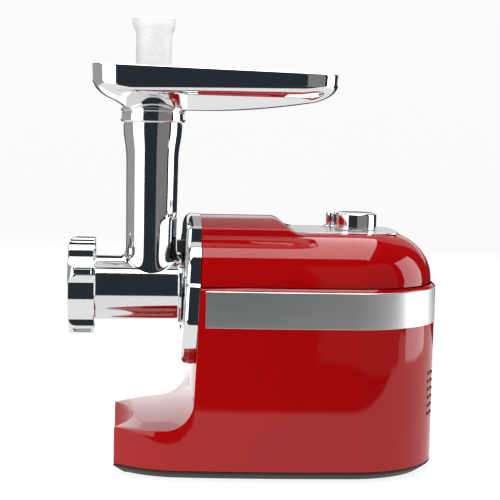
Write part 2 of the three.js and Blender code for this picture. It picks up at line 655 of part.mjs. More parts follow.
function rimHeight(x) {
  const [from, to] = TRAY.x;
  const [high, low] = TRAY.rimZ;
  return high + ((x - from) / (to - from)) * (low - high);
}

// A hollow plunger, open at the top; its flange stops it on the tray's floor.
function pusherSolid() {
  const { topZ, lip, upper, lower, bottomZ, flangeZ } = PUSHER;
  return turnedZ([
    [bottomZ, 0], [bottomZ, lower - 1], [bottomZ + 1, lower], [flangeZ - 3, lower],
    [flangeZ - 3, 21.5], [flangeZ, 21.5], [flangeZ, upper + 1.5], [flangeZ + 3, upper],
    [topZ - 13, upper], [topZ - 8.5, lip - 0.6], [topZ - 6, lip], [topZ - 2, lip],
    [topZ, lip - 1.8], [topZ, upper - 1.6], [flangeZ - 1, upper - 2.2],
    [bottomZ + 3, upper - 2.2], [bottomZ + 3, 0]], 20);
}

// ---------------------------------------------------------------- socket and lock ring
// Black liner behind the bezel: a chamber for the head's lugs, then a bore for its spigot.
function headSocket() {
  return turnedX([
    [-51.9, 33], [-51.9, 35.8], [-31.5, 35.8], [-31.5, 13.6], [-34.5, 13.6], [-34.5, 27.6],
    [-46.8, 27.6], [-46.8, 33]], 24);
}

function lockRing() {
  const lugs = lugAngles(0).map((middle) => ringSector(34, 28.2, [-55.6, -52.3], middle - 18, middle + 18));
  const band = ring(35.9, 33, [-55.6, -52.3], 24);
  const thumb = ringSector(41.4, 31, [-63.2, -52.3], 87, 98);
  return join(band, ...lugs, thumb);
}

// ---------------------------------------------------------------- gears
const ADDENDUM = 0.82;
const DEDENDUM = 1.2;

function gearShape(teeth, module) {
  const pitchRadius = (teeth * module) / 2;
  const tip = pitchRadius + ADDENDUM * module;
  const root = pitchRadius - DEDENDUM * module;
  const pitchAngle = (2 * Math.PI) / teeth;
  const corners = [];
  for (let i = 0; i < teeth; i += 1) {
    const flank = [[root, -0.31], [tip, -0.125], [tip, 0.125], [root, 0.31]];
    for (const [radius, share] of flank) {
      const angle = (i + share) * pitchAngle;
      corners.push(new THREE.Vector2(radius * Math.cos(angle), radius * Math.sin(angle)));
    }
  }
  return new THREE.Shape(corners);
}

const gear = (teeth, module, layer) => alongX(gearShape(teeth, module), layer);
const centreDistance = ({ teeth, wheel, module }) => ((teeth + wheel) / 2 + CENTRE_SLACK) * module;

// The point at given distances from two others, on the left of the line between them.
function meetingPoint(from, fromDistance, to, toDistance) {
  const span = from.distanceTo(to);
  const along = (fromDistance ** 2 - toDistance ** 2 + span ** 2) / (2 * span);
  const aside = Math.sqrt(fromDistance ** 2 - along ** 2);
  const direction = to.clone().sub(from).normalize();
  const left = new THREE.Vector2(-direction.y, direction.x);
  return from.clone().addScaledVector(direction, along).addScaledVector(left, aside);
}

// The turn that puts a gap of the driven wheel opposite a tooth of the driver.
function meshTurn(driverPlace, driverTurn, drivenPlace, { teeth, wheel }) {
  const toDriven = drivenPlace.clone().sub(driverPlace).angle();
  return toDriven + Math.PI - Math.PI / wheel - ((driverTurn - toDriven) * teeth) / wheel;
}

function trainPlaces() {
  const motor = new THREE.Vector2(0, MOTOR_Z);
  const output = new THREE.Vector2(0, HEAD_Z);
  const lean = THREE.MathUtils.degToRad(20);
  const reach = centreDistance(TRAIN.motor);
  const first = motor.clone().add(new THREE.Vector2(Math.cos(lean), Math.sin(lean)).multiplyScalar(reach));
  const second = meetingPoint(first, centreDistance(TRAIN.middle), output, centreDistance(TRAIN.last));
  const firstTurn = meshTurn(motor, 0, first, TRAIN.motor);
  const secondTurn = meshTurn(first, firstTurn, second, TRAIN.middle);
  const outputTurn = meshTurn(second, secondTurn, output, TRAIN.last);
  return { motor, output, first, second, firstTurn, secondTurn, outputTurn };
}

const LAYSHAFT = 3;

function compoundGear(wheelStage, wheelLayer, pinionStage, pinionLayer) {
  const wheel = gear(wheelStage.wheel, wheelStage.module, wheelLayer);
  const [from, to] = [Math.min(pinionLayer[0], wheelLayer[0]), Math.max(pinionLayer[1], wheelLayer[1])];
  const pinion = gear(pinionStage.teeth, pinionStage.module, [pinionLayer[0], wheelLayer[0] + 1]);
  return cut(join(wheel, pinion), rod(LAYSHAFT + RUNNING, [from - 1, to + 1]));
}

function layshaft() {
  return rod(LAYSHAFT, [CASE.x[0] + 1.5, CASE.x[1] + 1.5]);
}

// Output wheel, its shaft, and the square socket that drives the auger.
function outputGear() {
  const wheel = gear(TRAIN.last.wheel, TRAIN.last.module, LAYER.last);
  const shaft = turnedX([[-35.5, 0], [-35.5, 12], [-24, 12], [-22.5, 8], [LAYER.last[0], 8],
    [LAYER.last[1], 8], [LAYER.last[1] + 2, 5], [CASE.x[1] + 1.5, 5], [CASE.x[1] + 1.5, 0]], 16);
  return cut(join(wheel, shaft), box([-40, -25.5], [-5.5, 5.5], [-5.5, 5.5]));
}

function caseOutline(inset) {
  const [y0, y1] = [CASE.y[0] + inset, CASE.y[1] - inset];
  const [z0, z1] = [CASE.z[0] + inset, CASE.z[1] - inset];
  const corner = CASE.corner - inset;
  const outline = new THREE.Shape();
  outline.absarc(y1 - corner, z0 + corner, corner, -Math.PI / 2, 0);
  outline.absarc(y1 - corner, z1 - corner, corner, 0, Math.PI / 2);
  outline.absarc(y0 + corner, z1 - corner, corner, Math.PI / 2, Math.PI);
  outline.absarc(y0 + corner, z0 + corner, corner, Math.PI, 1.5 * Math.PI);
  return outline;
}

// Open box with a round nose that carries the head socket, standing on two legs.
function gearboxCase(places) {
  const [x0, x1] = CASE.x;
  const output = places.output.toArray();
  const floorZ = BASE.z[0] + BASE.floor + GAP;
  const legs = [-26, 38].map((y) => box([x0, x1 - 4], [y - 4, y + 4], [floorZ, CASE.z[0] + 4]));
  const nose = rod(35.8, [CASE.noseX, x0 + 1], output, 24);
  return cut(join(alongX(caseOutline(0), [x0, x1 - GAP]), nose, ...legs),
    alongX(caseOutline(CASE.wall), [x0 + CASE.wall, x1 + 5]),
    rod(32, [CASE.noseX - 5, x0], output, 24),
    rod(12.3, [x0 - 5, x0 + 5], output, 16),
    rod(LAYSHAFT + GAP, [x0 + 1, x0 + 5], places.first.toArray()),
    rod(LAYSHAFT + GAP, [x0 + 1, x0 + 5], places.second.toArray()));
}

function gearboxCover(places) {
  const x = CASE.x[1];
  const plate = alongX(caseOutline(0), [x, x + CASE.wall]);
  const boss = rod(15, [x + 1, x + 11], places.motor.toArray(), 16);
  return cut(join(plate, boss),
    rod(7, [x - 5, x + 20], places.motor.toArray()),
    rod(11.5, [x + 3.5, x + 20], places.motor.toArray(), 16),
    rod(5 + RUNNING, [x - 5, x + 2], places.output.toArray(), 16),
    rod(LAYSHAFT + GAP, [x - 5, x + 2], places.first.toArray()),
    rod(LAYSHAFT + GAP, [x - 5, x + 2], places.second.toArray()));
}

// ---------------------------------------------------------------- motor
const SHAFT = 4;
const CORE = { x: [62, 102], radius: 21.5 };

function motorShaft() {
  const [from, to] = LAYER.motor;
  const pinion = gear(TRAIN.motor.teeth, TRAIN.motor.module, [from - 0.4, to + 1]);
  return join(pinion, rod(SHAFT, [to + 1, 142]));
}

const onShaft = (outer, span, segments) => ring(outer, SHAFT + GAP, span, segments);

function coolingFan() {
  const blades = 8;
  const hub = join(onShaft(9, [32, 44], 12), onShaft(33, [42, 44], 20));
  const blade = box([32, 42.5], [-1, 1], [8, 32]);
  const turnedBlades = Array.from({ length: blades }, (_, i) => blade.rotate(i * (360 / blades), 0, 0));
  return join(hub, ...turnedBlades);
}

function statorSolid() {
  return cut(box(CORE.x, [-41, 41], [-38, 38]), rod(22.4, [50, 110], [0, 0], 20));
}

function fieldCoil(span) {
  return ring(34, 24.5, span, 16);
}

function rearBracket() {
  const plate = box([130, 141], [-41, 41], [-12, 12]);
  const arms = [-1, 1].map((side) => box([CORE.x[1] + GAP, 134], [side * 38.5 - 2.5, side * 38.5 + 2.5],
    [-12, 12]));
  return cut(join(plate, ...arms), rod(11.5, [120, 138], [0, 0], 16), rod(5.5, [120, 150]));
}

function motorCradle() {
  const floorZ = BASE.z[0] + BASE.floor + GAP - MOTOR_Z;
  const top = -38 - GAP;
  const seat = box([64, 100], [-41, 41], [top - 4, top]);
  const legs = [-1, 1].map((side) => box([66, 98], [side * 34 - 3, side * 34 + 3], [floorZ, top - 3]));
  return join(seat, ...legs);
}

const brushHolder = (side) => box([114, 124], side > 0 ? [11.6, 35.4] : [-35.4, -11.6], [-5, 5]);

// ---------------------------------------------------------------- controls
function knobSolid() {
  const [z0, z1] = KNOB.z;
  return turnedZ([[z0, KNOB.radius - 3], [z0, KNOB.radius], [z1 - 1.2, KNOB.radius],
    [z1, KNOB.radius - 1.2], [z1, 0], [z1 - 3, 0], [z1 - 3, KNOB.radius - 3]], 24);
}

function knobSpindle() {
  return turnedZ([[184, 0], [184, 3], [KNOB.z[1] - 3.3, 3], [KNOB.z[1] - 3.3, 0]], 12);
}

function speedSwitch() {
  const body = box([KNOB.x - 13, KNOB.x + 13], [-13, 13], [180.4, 193]);
  return cut(body, post(3 + RUNNING, [183.6, 200], [KNOB.x, 0]));
}

function reverseButton() {
  const [z0, z1] = BUTTON.z;
  const seat = { radius: 3.75, depth: 3.5 };   // recess that takes the end of the spring
  return turnedZ([[z0 - 12, 0], [z0 - 12, 2], [z0 + seat.depth, 2], [z0 + seat.depth, seat.radius],
    [z0, seat.radius], [z0, BUTTON.radius], [z1 - 0.9, BUTTON.radius], [z1, BUTTON.radius - 0.9], [z1, 0]], 16);
}

function reverseCollar() {
  return ringZ(6.8, BUTTON.radius + 0.5, [COVER.topZ + 0.5, 201.5]);
}

class Helix extends THREE.Curve {
  constructor(radius, height, turns) {
    super();
    Object.assign(this, { radius, height, turns });
  }

  getPoint(t, target = new THREE.Vector3()) {
    const angle = t * this.turns * 2 * Math.PI;
    return target.set(this.radius * Math.cos(angle), this.radius * Math.sin(angle), this.height * t);
  }
}

function springSolid(radius, wire, height, turns) {
  const section = new THREE.Shape([[-1, -1], [1, -1], [1, 1], [-1, 1]]
    .map(([x, y]) => new THREE.Vector2((x * wire) / 2, (y * wire) / 2)));
  return solid(new THREE.ExtrudeGeometry(section,
    { steps: turns * 8, extrudePath: new Helix(radius, height, turns) }));
}

function microswitch() {
  return box([BUTTON.x - 7, BUTTON.x + 7], [BUTTON.y - 4, BUTTON.y + 4], [174, 180]);
}

function controlBoard() {
  const board = box([56, 116], [-30, 34], [171.6, 173.4]);
  const hangers = [[60, -26], [60, 30], [98, -24], [98, 24]]
    .map((place) => post(3, [173, COVER.topZ - SKIN - 1.7], place, 8));
  const parts = [
    box([86, 104], [18, 30], [173, 184]),
    box([62, 80], [-27, -16], [173, 182]),
    post(6, [173, 188], [108, -18]),
    box([KNOB.x - 13, KNOB.x + 13], [-13, 13], [173, 180.1]),
  ];
  return join(board, ...hangers, ...parts);
}

function cordGland() {
  return turnedX([[145, 5], [145, 11], [153, 11], [153, 7.8], [REAR_X - 0.4, 7.8], [REAR_X - 0.4, 5]], 12);
}

function ventGrille() {
  const inner = cut(alongZ(planShape(SKIN + GAP), [42, 92]), alongZ(planShape(SKIN + GAP + 1.6), [0, 100]));
  const screen = common(inner, box([100, 170], [-52, 52], [42, 92]));
  const bars = [];
  for (let i = 0; i < 7; i += 1) {
    const y = -42 + i * 14;
    bars.push(box([100, 170], [y - 5, y + 5], [47, 87]));
  }
  return cut(screen, ...bars);
}

// ---------------------------------------------------------------- assembly
function addHousing(model) {
  part(model, 'lower_housing', lowerHousing(), 'red');
  part(model, 'upper_cover', upperCover(), 'red');
  part(model, 'control_panel', controlPanel(), 'silverPanel');
  part(model, 'trim_band', trimBand(), 'brushed');
  part(model, 'rear_vent_grille', ventGrille(), 'black');
  part(group(model, 0, 0, 28), 'cord_gland', cordGland(), 'black');
  const front = group(model, FRONT.x, 0, HEAD_Z);
  front.rotation.y = Math.atan(FRONT.lean);
  part(front, 'front_bezel', frontBezel(), 'chrome');
}

function addBase(model) {
  part(model, 'base_plate', basePlate(), 'black');
  FEET.forEach(([x, y], i) => part(group(model, x, y), `foot_${i + 1}`, footSolid(), 'rubber'));
  SCREWS.forEach(([x, y], i) => part(group(model, x, y), `base_screw_${i + 1}`, baseScrew(), 'steel'));
}

function addHead(model) {
  const head = group(model, 0, 0, HEAD_Z);
  part(head, 'grinder_head', grinderHead(), 'castMetal');
  part(head, 'auger_bush', augerBush(), 'nylon');
  const auger = part(head, 'auger', augerSolid(), 'castMetal');
  const knife = part(head, 'knife', knifeSolid(), 'steel');
  // The squares of the auger stand as the drive socket of the output gear stands.
  auger.rotation.x = trainPlaces().outputTurn;
  knife.rotation.x = auger.rotation.x;
  part(head, 'cutting_plate', cuttingPlate(), 'steel');
  part(head, 'ring_nut', ringNut(), 'chrome');
  part(head, 'head_socket', headSocket(), 'black');
  part(head, 'lock_ring', lockRing(), 'black');
  part(model, 'feed_tray', feedTray(), 'chrome');
  part(group(model, PUSHER.x), 'pusher', pusherSolid(), 'milky');
}

function addGearbox(model) {
  const places = trainPlaces();
  const at = (place, turn, name, body, finish) => {
    const mesh = part(model, name, body, finish);
    mesh.position.set(0, place.x, place.y);
    mesh.rotation.x = turn;
  };
  at(places.output, places.outputTurn, 'output_gear', outputGear(), 'steel');
  at(places.first, places.firstTurn, 'first_gear',
    compoundGear(TRAIN.motor, LAYER.motor, TRAIN.middle, LAYER.middle), 'nylon');
  at(places.second, places.secondTurn, 'second_gear',
    compoundGear(TRAIN.middle, LAYER.middle, TRAIN.last, LAYER.last), 'steel');
  at(places.first, 0, 'layshaft_1', layshaft(), 'steel');
  at(places.second, 0, 'layshaft_2', layshaft(), 'steel');
  at(places.output, 0, 'output_bearing', ring(12, 8.5, [CASE.x[0], CASE.x[0] + 3], 16), 'castMetal');
  part(model, 'gearbox_case', gearboxCase(places), 'black');
  part(model, 'gearbox_cover', gearboxCover(places), 'black');
}

function addMotor(model) {
  const motor = group(model, 0, 0, MOTOR_Z);
  part(motor, 'motor_shaft', motorShaft(), 'steel');
  part(motor, 'armature_core', onShaft(CORE.radius, [CORE.x[0] + 1, CORE.x[1] - 1], 20), 'lamination');
  part(motor, 'commutator', onShaft(11, [110, 127]), 'copper');
  part(motor, 'cooling_fan', coolingFan(), 'black');
  part(motor, 'motor_stator', statorSolid(), 'lamination');
  part(motor, 'field_coil_front', fieldCoil([50, CORE.x[0] - GAP]), 'copper');
  part(motor, 'field_coil_rear', fieldCoil([CORE.x[1] + GAP, 109]), 'copper');
  part(motor, 'motor_bearing_front', onShaft(11, [CASE.x[1] + 4, CASE.x[1] + 10.6]), 'steel');
  part(motor, 'motor_bearing_rear', onShaft(11, [130.8, 137.6]), 'steel');
  part(motor, 'motor_rear_bracket', rearBracket(), 'castMetal');
  part(motor, 'motor_cradle', motorCradle(), 'castMetal');
  part(motor, 'brush_holder_left', brushHolder(-1), 'black');
  part(motor, 'brush_holder_right', brushHolder(1), 'black');
}

function addControls(model) {
  part(group(model, KNOB.x), 'speed_knob', knobSolid(), 'chrome');
  part(group(model, KNOB.x), 'knob_spindle', knobSpindle(), 'nylon');
  part(model, 'speed_switch', speedSwitch(), 'black');
  part(group(model, BUTTON.x, BUTTON.y), 'reverse_button', reverseButton(), 'chrome');
  part(group(model, BUTTON.x, BUTTON.y), 'reverse_collar', reverseCollar(), 'chrome');
  const spring = part(model, 'reverse_spring', springSolid(2.9, 0.7, 15, 4), 'steel');
  spring.position.set(BUTTON.x, BUTTON.y, 181);
  part(model, 'reverse_microswitch', microswitch(), 'black');
  part(model, 'control_board', controlBoard(), 'board');
}

const grinder = new THREE.Group();
addHousing(grinder);
addBase(grinder);
addHead(grinder);
addGearbox(grinder);
addMotor(grinder);
addControls(grinder);

export default grinder;
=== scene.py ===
import json
import math
from contextlib import contextmanager

import bmesh
import bpy
import numpy as np
from mathutils import Matrix, Vector


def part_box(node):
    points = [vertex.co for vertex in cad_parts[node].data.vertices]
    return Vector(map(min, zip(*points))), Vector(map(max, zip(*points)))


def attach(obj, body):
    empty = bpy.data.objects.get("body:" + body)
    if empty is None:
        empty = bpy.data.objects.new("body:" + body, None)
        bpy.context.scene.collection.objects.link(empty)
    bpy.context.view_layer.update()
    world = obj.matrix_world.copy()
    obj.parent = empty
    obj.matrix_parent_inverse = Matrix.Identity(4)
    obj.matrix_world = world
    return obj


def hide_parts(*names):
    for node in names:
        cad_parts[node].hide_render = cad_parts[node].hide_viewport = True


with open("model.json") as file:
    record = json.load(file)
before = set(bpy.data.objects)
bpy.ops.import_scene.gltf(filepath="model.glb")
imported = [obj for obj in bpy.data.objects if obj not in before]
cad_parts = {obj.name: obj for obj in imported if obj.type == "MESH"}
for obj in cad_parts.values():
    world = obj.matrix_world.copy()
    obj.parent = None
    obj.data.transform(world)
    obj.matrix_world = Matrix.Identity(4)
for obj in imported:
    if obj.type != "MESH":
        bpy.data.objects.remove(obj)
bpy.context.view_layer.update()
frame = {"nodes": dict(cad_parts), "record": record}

MM = 0.001
TURN = 2 * math.pi

# ---- dimensions, in millimetres
HALF_WIDTH = 84.4  # housing, from its middle line to one side
REAR_X = 156.0
REAR_CORNER = 76.0
TIP_X, TIP_Y = -114.0, 53.0  # tip of each prong of the base arm
HOLLOW_X = -98.0  # deepest point between the prongs
SKIN = 2.6  # thickness of the housing and cover
HEAD_Z = 147.5  # height of the head's axis
FRONT_X = -46.6  # front wall at the height of the head's axis
FRONT_LEAN = 0.041  # how far the front wall leans for each millimetre of height
ARM_RADIUS, ARM_Z, ARM_TIP_Z = 25.0, 40.5, 38.6
HOUSING_LOW_Z = 8.6
LEDGE_Z = 158.2
LEDGE_LEVELS = ((0, 9.4), (0, 154.6), (0, 155.2), (0.4, 156.0), (2.6, 157.7), (3.6, LEDGE_Z))
SIDE_REACH = 95  # half width of a tool that cuts across the whole body
TOOL_TOP_Z = 170
SOCKET_HOLE = 38
VENT_COUNT, VENT_LOW_Z, VENT_PITCH = 6, 49.7, 6.8
VENT_HALF, VENT_HEIGHT = 46.0, 3.4
GLAND_Z, GLAND_HOLE = 28, 8.2
COVER_HALF = 80.6
COVER_REAR_X = 152.2
COVER_CORNER = 72.2
COVER_Z, SHOULDER_Z, TOP_Z = 158.5, 160.5, 199.4
SHOULDER = 42.0  # how far the cover's shoulder draws in
DOME_STEPS = 30
COWL_TOP_Z, COWL_FOOT_Z = 211.0, 185
COWL_SLOPE_X, COWL_SLOPE_LENGTH = 15.5, 20.5
BAND_Z = (125.4, 155.1)
BAND_FRONT_X = -42.0
BAND_PROUD, BAND_DEPTH, BAND_EDGE = 0.5, 1.3, 0.45
BASE_Z = (1.4, 8.3)
BEZEL_BOTTOM_Z, BEZEL_CORNER = 89.5, 44.0
BEZEL_DEPTH, BEZEL_EDGE = 12.5, 5.8
BEZEL_MOUTH, BEZEL_COUNTERBORE = 36.5, 42.6
BEZEL_DISH, DISH_EDGE = 1.1, 37.5
THUMB_SLOT = (36, 101)  # degrees that the lock ring's tab can sweep
LUG_INNER, LUG_OUTER = 25, 32
TUBE_X = -85.0
BARREL, TUBE_FOOT, TUBE_BORE = 26.95, 21.1, 18.9
NUT_X = (-154.0, -131.6)
NUT_RADIUS, NUT_RISE, NUT_THREAD = 39.3, 4.3, 34.5
NUT_CROWN = NUT_RADIUS + NUT_RISE
NUT_GRIPS = 5
NUT_GRIP_AT = 83.8  # direction of one grip of the ring nut, in degrees from +Y
GRIP_TOP, GRIP_FOOT = 4.7, 12.2  # half angles of a grip, in degrees
NUT_ROUNDING, NUT_FRONT_REACH = 7.0, 8.0
POCKET_X = (-148.5, -134.1)
POCKET_HALF, POCKET_DEPTH = 2.75, 2.2
PLATE_X = (-151.2, -146.2)
PLATE_RADIUS = 31
PLATE_HOLES = ((6, 11.5), (12, 22))  # count and distance of each circle of holes
HOLE, MIDDLE_HOLE = 3.9, 4.1
AUGER_X, AUGER_TURNS = (-139.6, -44.5), 3.25
AUGER_CORE, FLIGHT_HEIGHT = 9, 13.1
DRIVE_TURN = 3.3918  # turn of the drive square at rest, in radians, as the gears leave it
TRAY_X = (-136.0, 66.4)
TRAY_HALF = 65.0
TRAY_CORNER = 28.5
RIM_Z = (334.7, 329.6)  # height of the rim at the tray's two ends
SHEET = 1.1
THROAT = 19.4
KNOB_X = 88.5
BUTTON_AT = (71, 25, 0)
GRILLE_SLATS, GRILLE_LOW_Z = 7, 44.5


def front_x(z):
    """X of the leaning front wall at a height."""
    return FRONT_X + (z - HEAD_Z) * FRONT_LEAN


# ---- curves
def bezier(points, steps):
    """Points on a Bezier curve of any degree, without its last one."""
    points = np.asarray(points, float)
    degree = len(points) - 1
    t = np.arange(steps)[:, None] / steps
    total = np.zeros((steps, points.shape[1]))
    for k, point in enumerate(points):
        total += math.comb(degree, k) * t**k * (1 - t) ** (degree - k) * point
    return total


def arc(centre, radius, start, end, steps):
    """Points on an arc between two angles in degrees, without its last one."""
    angles = np.radians(start + (end - start) * np.arange(steps) / steps)
    return spokes(angles) * radius + centre


def straight(start, end, steps):
    """Points on a line, without its last one."""
    t = np.arange(steps)[:, None] / steps
    return np.asarray(start, float) * (1 - t) + np.asarray(end, float) * t


def smoothstep(t):
    t = np.clip(t, 0, 1)
    return t * t * (3 - 2 * t)


def soft_min(value, limit, softness):
    """The lower of two lengths, with the corner where they cross softened."""
    gap = (value - limit) / softness
    low = limit - softness * np.log1p(np.exp(-np.clip(gap, -40, 40)))
    return np.where(gap < -40, value, low)


def offset(points, distance):
    """A closed anticlockwise outline moved inwards by a distance."""
    ahead = np.roll(points, -1, axis=0) - points
    ahead /= np.linalg.norm(ahead, axis=1)[:, None]
    behind = np.roll(ahead, 1, axis=0)
    normal = np.column_stack([-ahead[:, 1] - behind[:, 1], ahead[:, 0] + behind[:, 0]])
    normal /= np.linalg.norm(normal, axis=1)[:, None]
    side = np.column_stack([-behind[:, 1], behind[:, 0]])
    reach = distance / np.clip((normal * side).sum(axis=1), 0.3, 1)
    return points + normal * reach[:, None]


def body_plan():
    """Plan of the housing: anticlockwise from the tip of the -Y prong."""
    bow = HALF_WIDTH - 4.4
    corner_x, corner_y = REAR_X - REAR_CORNER, HALF_WIDTH - REAR_CORNER
    hollow = HOLLOW_X - TIP_X
    radius = (TIP_Y**2 + hollow**2) / (2 * hollow)
    angle = math.degrees(math.asin(TIP_Y / radius))
    side = np.vstack([
        bezier([(TIP_X, -TIP_Y), (-90, 2 - bow), (-61, -bow)], 20),
        bezier([(-61, -bow), (-11, -HALF_WIDTH), (44, -HALF_WIDTH)], 24),
        straight((44, -HALF_WIDTH), (corner_x, -HALF_WIDTH), 6),
        arc((corner_x, -corner_y), REAR_CORNER, -90, 0, 40),
    ])
    mirrored = np.vstack([side, [(REAR_X, -corner_y)]])[::-1] * (1, -1)
    front = arc((HOLLOW_X - radius, 0), radius, angle, -angle, 24)[1:]
    return np.vstack([side, [(REAR_X, -corner_y)], mirrored, front])


# ---- meshes
def add_object(name, data):
    obj = bpy.data.objects.new(name, data)
    bpy.context.scene.collection.objects.link(obj)
    return obj


@contextmanager
def editing(obj):
    """The object's mesh as a BMesh, written back at the end."""
    bm = bmesh.new()
    bm.from_mesh(obj.data)
    yield bm
    bm.to_mesh(obj.data)
    bm.free()


def new_object(name, vertices, faces):
    """Object from millimetre vertices and faces."""
    mesh = bpy.data.meshes.new(name)
    mesh.from_pydata((np.asarray(vertices, float) * MM).tolist(), [], faces)
    mesh.validate()
    return add_object(name, mesh)


def loft(name, rings, closed=True, capped=False, loop=False):
    """Skin over rings of equal length.

    closed joins each ring's last point to its first, loop joins the last ring to the first, and
    capped fills the first and last rings.
    """
    rings = [np.asarray(ring, float) for ring in rings]
    count = len(rings[0])
    vertices = np.vstack(rings)
    spans = count if closed else count - 1
    faces = []
    for k in range(len(rings) if loop else len(rings) - 1):
        a, b = k * count, ((k + 1) % len(rings)) * count
        for i in range(spans):
            j = (i + 1) % count
            faces.append((a + i, a + j, b + j, b + i))
    if capped:
        last = (len(rings) - 1) * count
        faces.append(tuple(range(count))[::-1])
        faces.append(tuple(range(last, last + count)))
    obj = new_object(name, vertices, faces)
    face_outwards(obj)
    return obj


def face_outwards(obj):
    """Merges vertices that share a place and turns every face outwards."""
    with editing(obj) as bm:
        bmesh.ops.remove_doubles(bm, verts=bm.verts, dist=1e-7)
        bmesh.ops.recalc_face_normals(bm, faces=bm.faces)


def shade(obj, degrees=32):
    """Smooth shading with creases where neighbouring faces turn more than an angle."""
    with editing(obj) as bm:
        for face in bm.faces:
            face.smooth = True
        for edge in bm.edges:
            turn = edge.calc_face_angle(0) if len(edge.link_faces) == 2 else math.pi
            edge.smooth = turn < math.radians(degrees)


def apply_modifiers(obj):
    """Replaces the object's mesh by what its modifiers make of it."""
    bpy.context.view_layer.update()
    graph = bpy.context.evaluated_depsgraph_get()
    mesh = bpy.data.meshes.new_from_object(obj.evaluated_get(graph))
    obj.modifiers.clear()
    obj.data = mesh
    return obj


def boolean(obj, tool, operation="DIFFERENCE", fast=False):
    """Cuts, joins or keeps the common part with tool, and removes tool."""
    modifier = obj.modifiers.new("carve", "BOOLEAN")
    modifier.operation = operation
    modifier.solver = "FAST" if fast else "EXACT"
    modifier.object = tool
    apply_modifiers(obj)
    bpy.data.objects.remove(tool)


def bevel(obj, width, segments=3, degrees=35):
    modifier = obj.modifiers.new("edges", "BEVEL")
    modifier.width = width * MM
    modifier.segments = segments
    modifier.limit_method = "ANGLE"
    modifier.angle_limit = math.radians(degrees)
    modifier.use_clamp_overlap = True
    return apply_modifiers(obj)


def clean(obj):
    """Merges the slivers that carving leaves."""
    sliver = 0.02 * MM
    with editing(obj) as bm:
        bmesh.ops.remove_doubles(bm, verts=bm.verts, dist=sliver)
        bmesh.ops.dissolve_degenerate(bm, edges=bm.edges, dist=sliver)


def join(name, objects):
    """One object from several."""
    bm = bmesh.new()
    for part in objects:
        bm.from_mesh(part.data)
        bpy.data.objects.remove(part)
    mesh = bpy.data.meshes.new(name)
    bm.to_mesh(mesh)
    bm.free()
    return add_object(name, mesh)


def spokes(angles):
    """Unit steps out from a centre at some angles."""
    return np.column_stack([np.cos(angles), np.sin(angles)])


def circle(radius, centre=(0.0, 0.0), segments=96):
    return spokes(TURN * np.arange(segments) / segments) * radius + centre


def at_x(x, outline):
    """A YZ outline as a ring at one X."""
    return np.column_stack([np.full(len(outline), x), outline])


def at_z(outline, z):
    """An XY outline as a ring at one height, or at a height for each point."""
    return np.column_stack([outline, np.broadcast_to(z, len(outline))])


def lathe(name, profile, axis="Z", centre=(0, 0, 0), segments=96, closed=False):
    """Turns a profile of (along, radius) about the X or Z axis through centre."""
    rings = []
    for along, radius in profile:
        outline = circle(radius, segments=segments)
        ring = at_z(outline, along) if axis == "Z" else at_x(along, outline)
        rings.append(ring + centre)
    return loft(name, rings, loop=closed)


def rounded(profile, radius, steps=4):
    """A profile with its corners rounded; a corner's own radius may be its third number."""
    points = [tuple(p[:2]) for p in profile]
    radii = [p[2] if len(p) > 2 else radius for p in profile]
    result = [points[0]]
    for before, here, after, size in zip(points, points[1:], points[2:], radii[1:]):
        here_v = Vector(here)
        back, forth = Vector(before) - here_v, Vector(after) - here_v
        reach = min(size, back.length * 0.49, forth.length * 0.49)
        if reach < 0.02:
            result.append(here)
            continue
        start = here_v + back.normalized() * reach
        end = here_v + forth.normalized() * reach
        for t in np.linspace(0, 1, steps + 1):
            point = start * (1 - t) ** 2 + here_v * (2 * t * (1 - t)) + end * t**2
            result.append(tuple(point))
    result.append(points[-1])
    return result


def cylinder_x(x0, x1, radius, y=0.0, z=0.0, segments=96):
    outline = circle(radius, (y, z), segments)
    return loft("tool", [at_x(x0, outline), at_x(x1, outline)], capped=True)


def prism_z(outline, z0, z1):
    """Outline in the XY plane carried along Z."""
    return loft("tool", [at_z(outline, z0), at_z(outline, z1)], capped=True)


def prism_y(outline):
    """Outline in the XZ plane carried across the whole body along Y."""
    rings = [np.insert(outline, 1, y, axis=1) for y in (-SIDE_REACH, SIDE_REACH)]
    return loft("tool", rings, capped=True)


def block(x, y, z, radius=0.0):
    """Box between pairs of coordinates, with rounded edges when a radius is given."""
    corners = [(x[i], y[j], z[k]) for i in (0, 1) for j in (0, 1) for k in (0, 1)]
    faces = [(0, 1, 3, 2), (4, 6, 7, 5), (0, 4, 5, 1), (2, 3, 7, 6), (0, 2, 6, 4), (1, 5, 7, 3)]
    obj = new_object("block", corners, faces)
    face_outwards(obj)
    return bevel(obj, radius) if radius else obj


# ---- materials
def node_material(name):
    material = bpy.data.materials.new(name)
    material.use_nodes = True
    tree = material.node_tree
    return material, tree, tree.nodes["Principled BSDF"]


def set_inputs(node, **values):
    """Sets a node's inputs; an underscore stands for a space in an input's name."""
    for name, value in values.items():
        node.inputs[name.replace("_", " ")].default_value = value


def add_node(tree, kind, **values):
    node = tree.nodes.new("ShaderNode" + kind)
    set_inputs(node, **values)
    return node


def coordinates(tree, stretch=(1, 1, 1)):
    """Object coordinates, in metres, scaled along each axis."""
    source = add_node(tree, "TexCoord")
    mapping = add_node(tree, "Mapping", Scale=stretch)
    tree.links.new(source.outputs["Object"], mapping.inputs["Vector"])
    return mapping.outputs["Vector"]


def noise(tree, vector, scale, detail, roughness=0.5):
    node = add_node(tree, "TexNoise", Scale=scale, Detail=detail, Roughness=roughness)
    tree.links.new(vector, node.inputs["Vector"])
    return node.outputs["Fac"]


def spread(tree, value, low, high):
    """Maps the middle of a noise value's range to low and high."""
    node = add_node(tree, "MapRange", From_Min=0.3, From_Max=0.7, To_Min=low, To_Max=high)
    tree.links.new(value, node.inputs["Value"])
    return node.outputs["Result"]


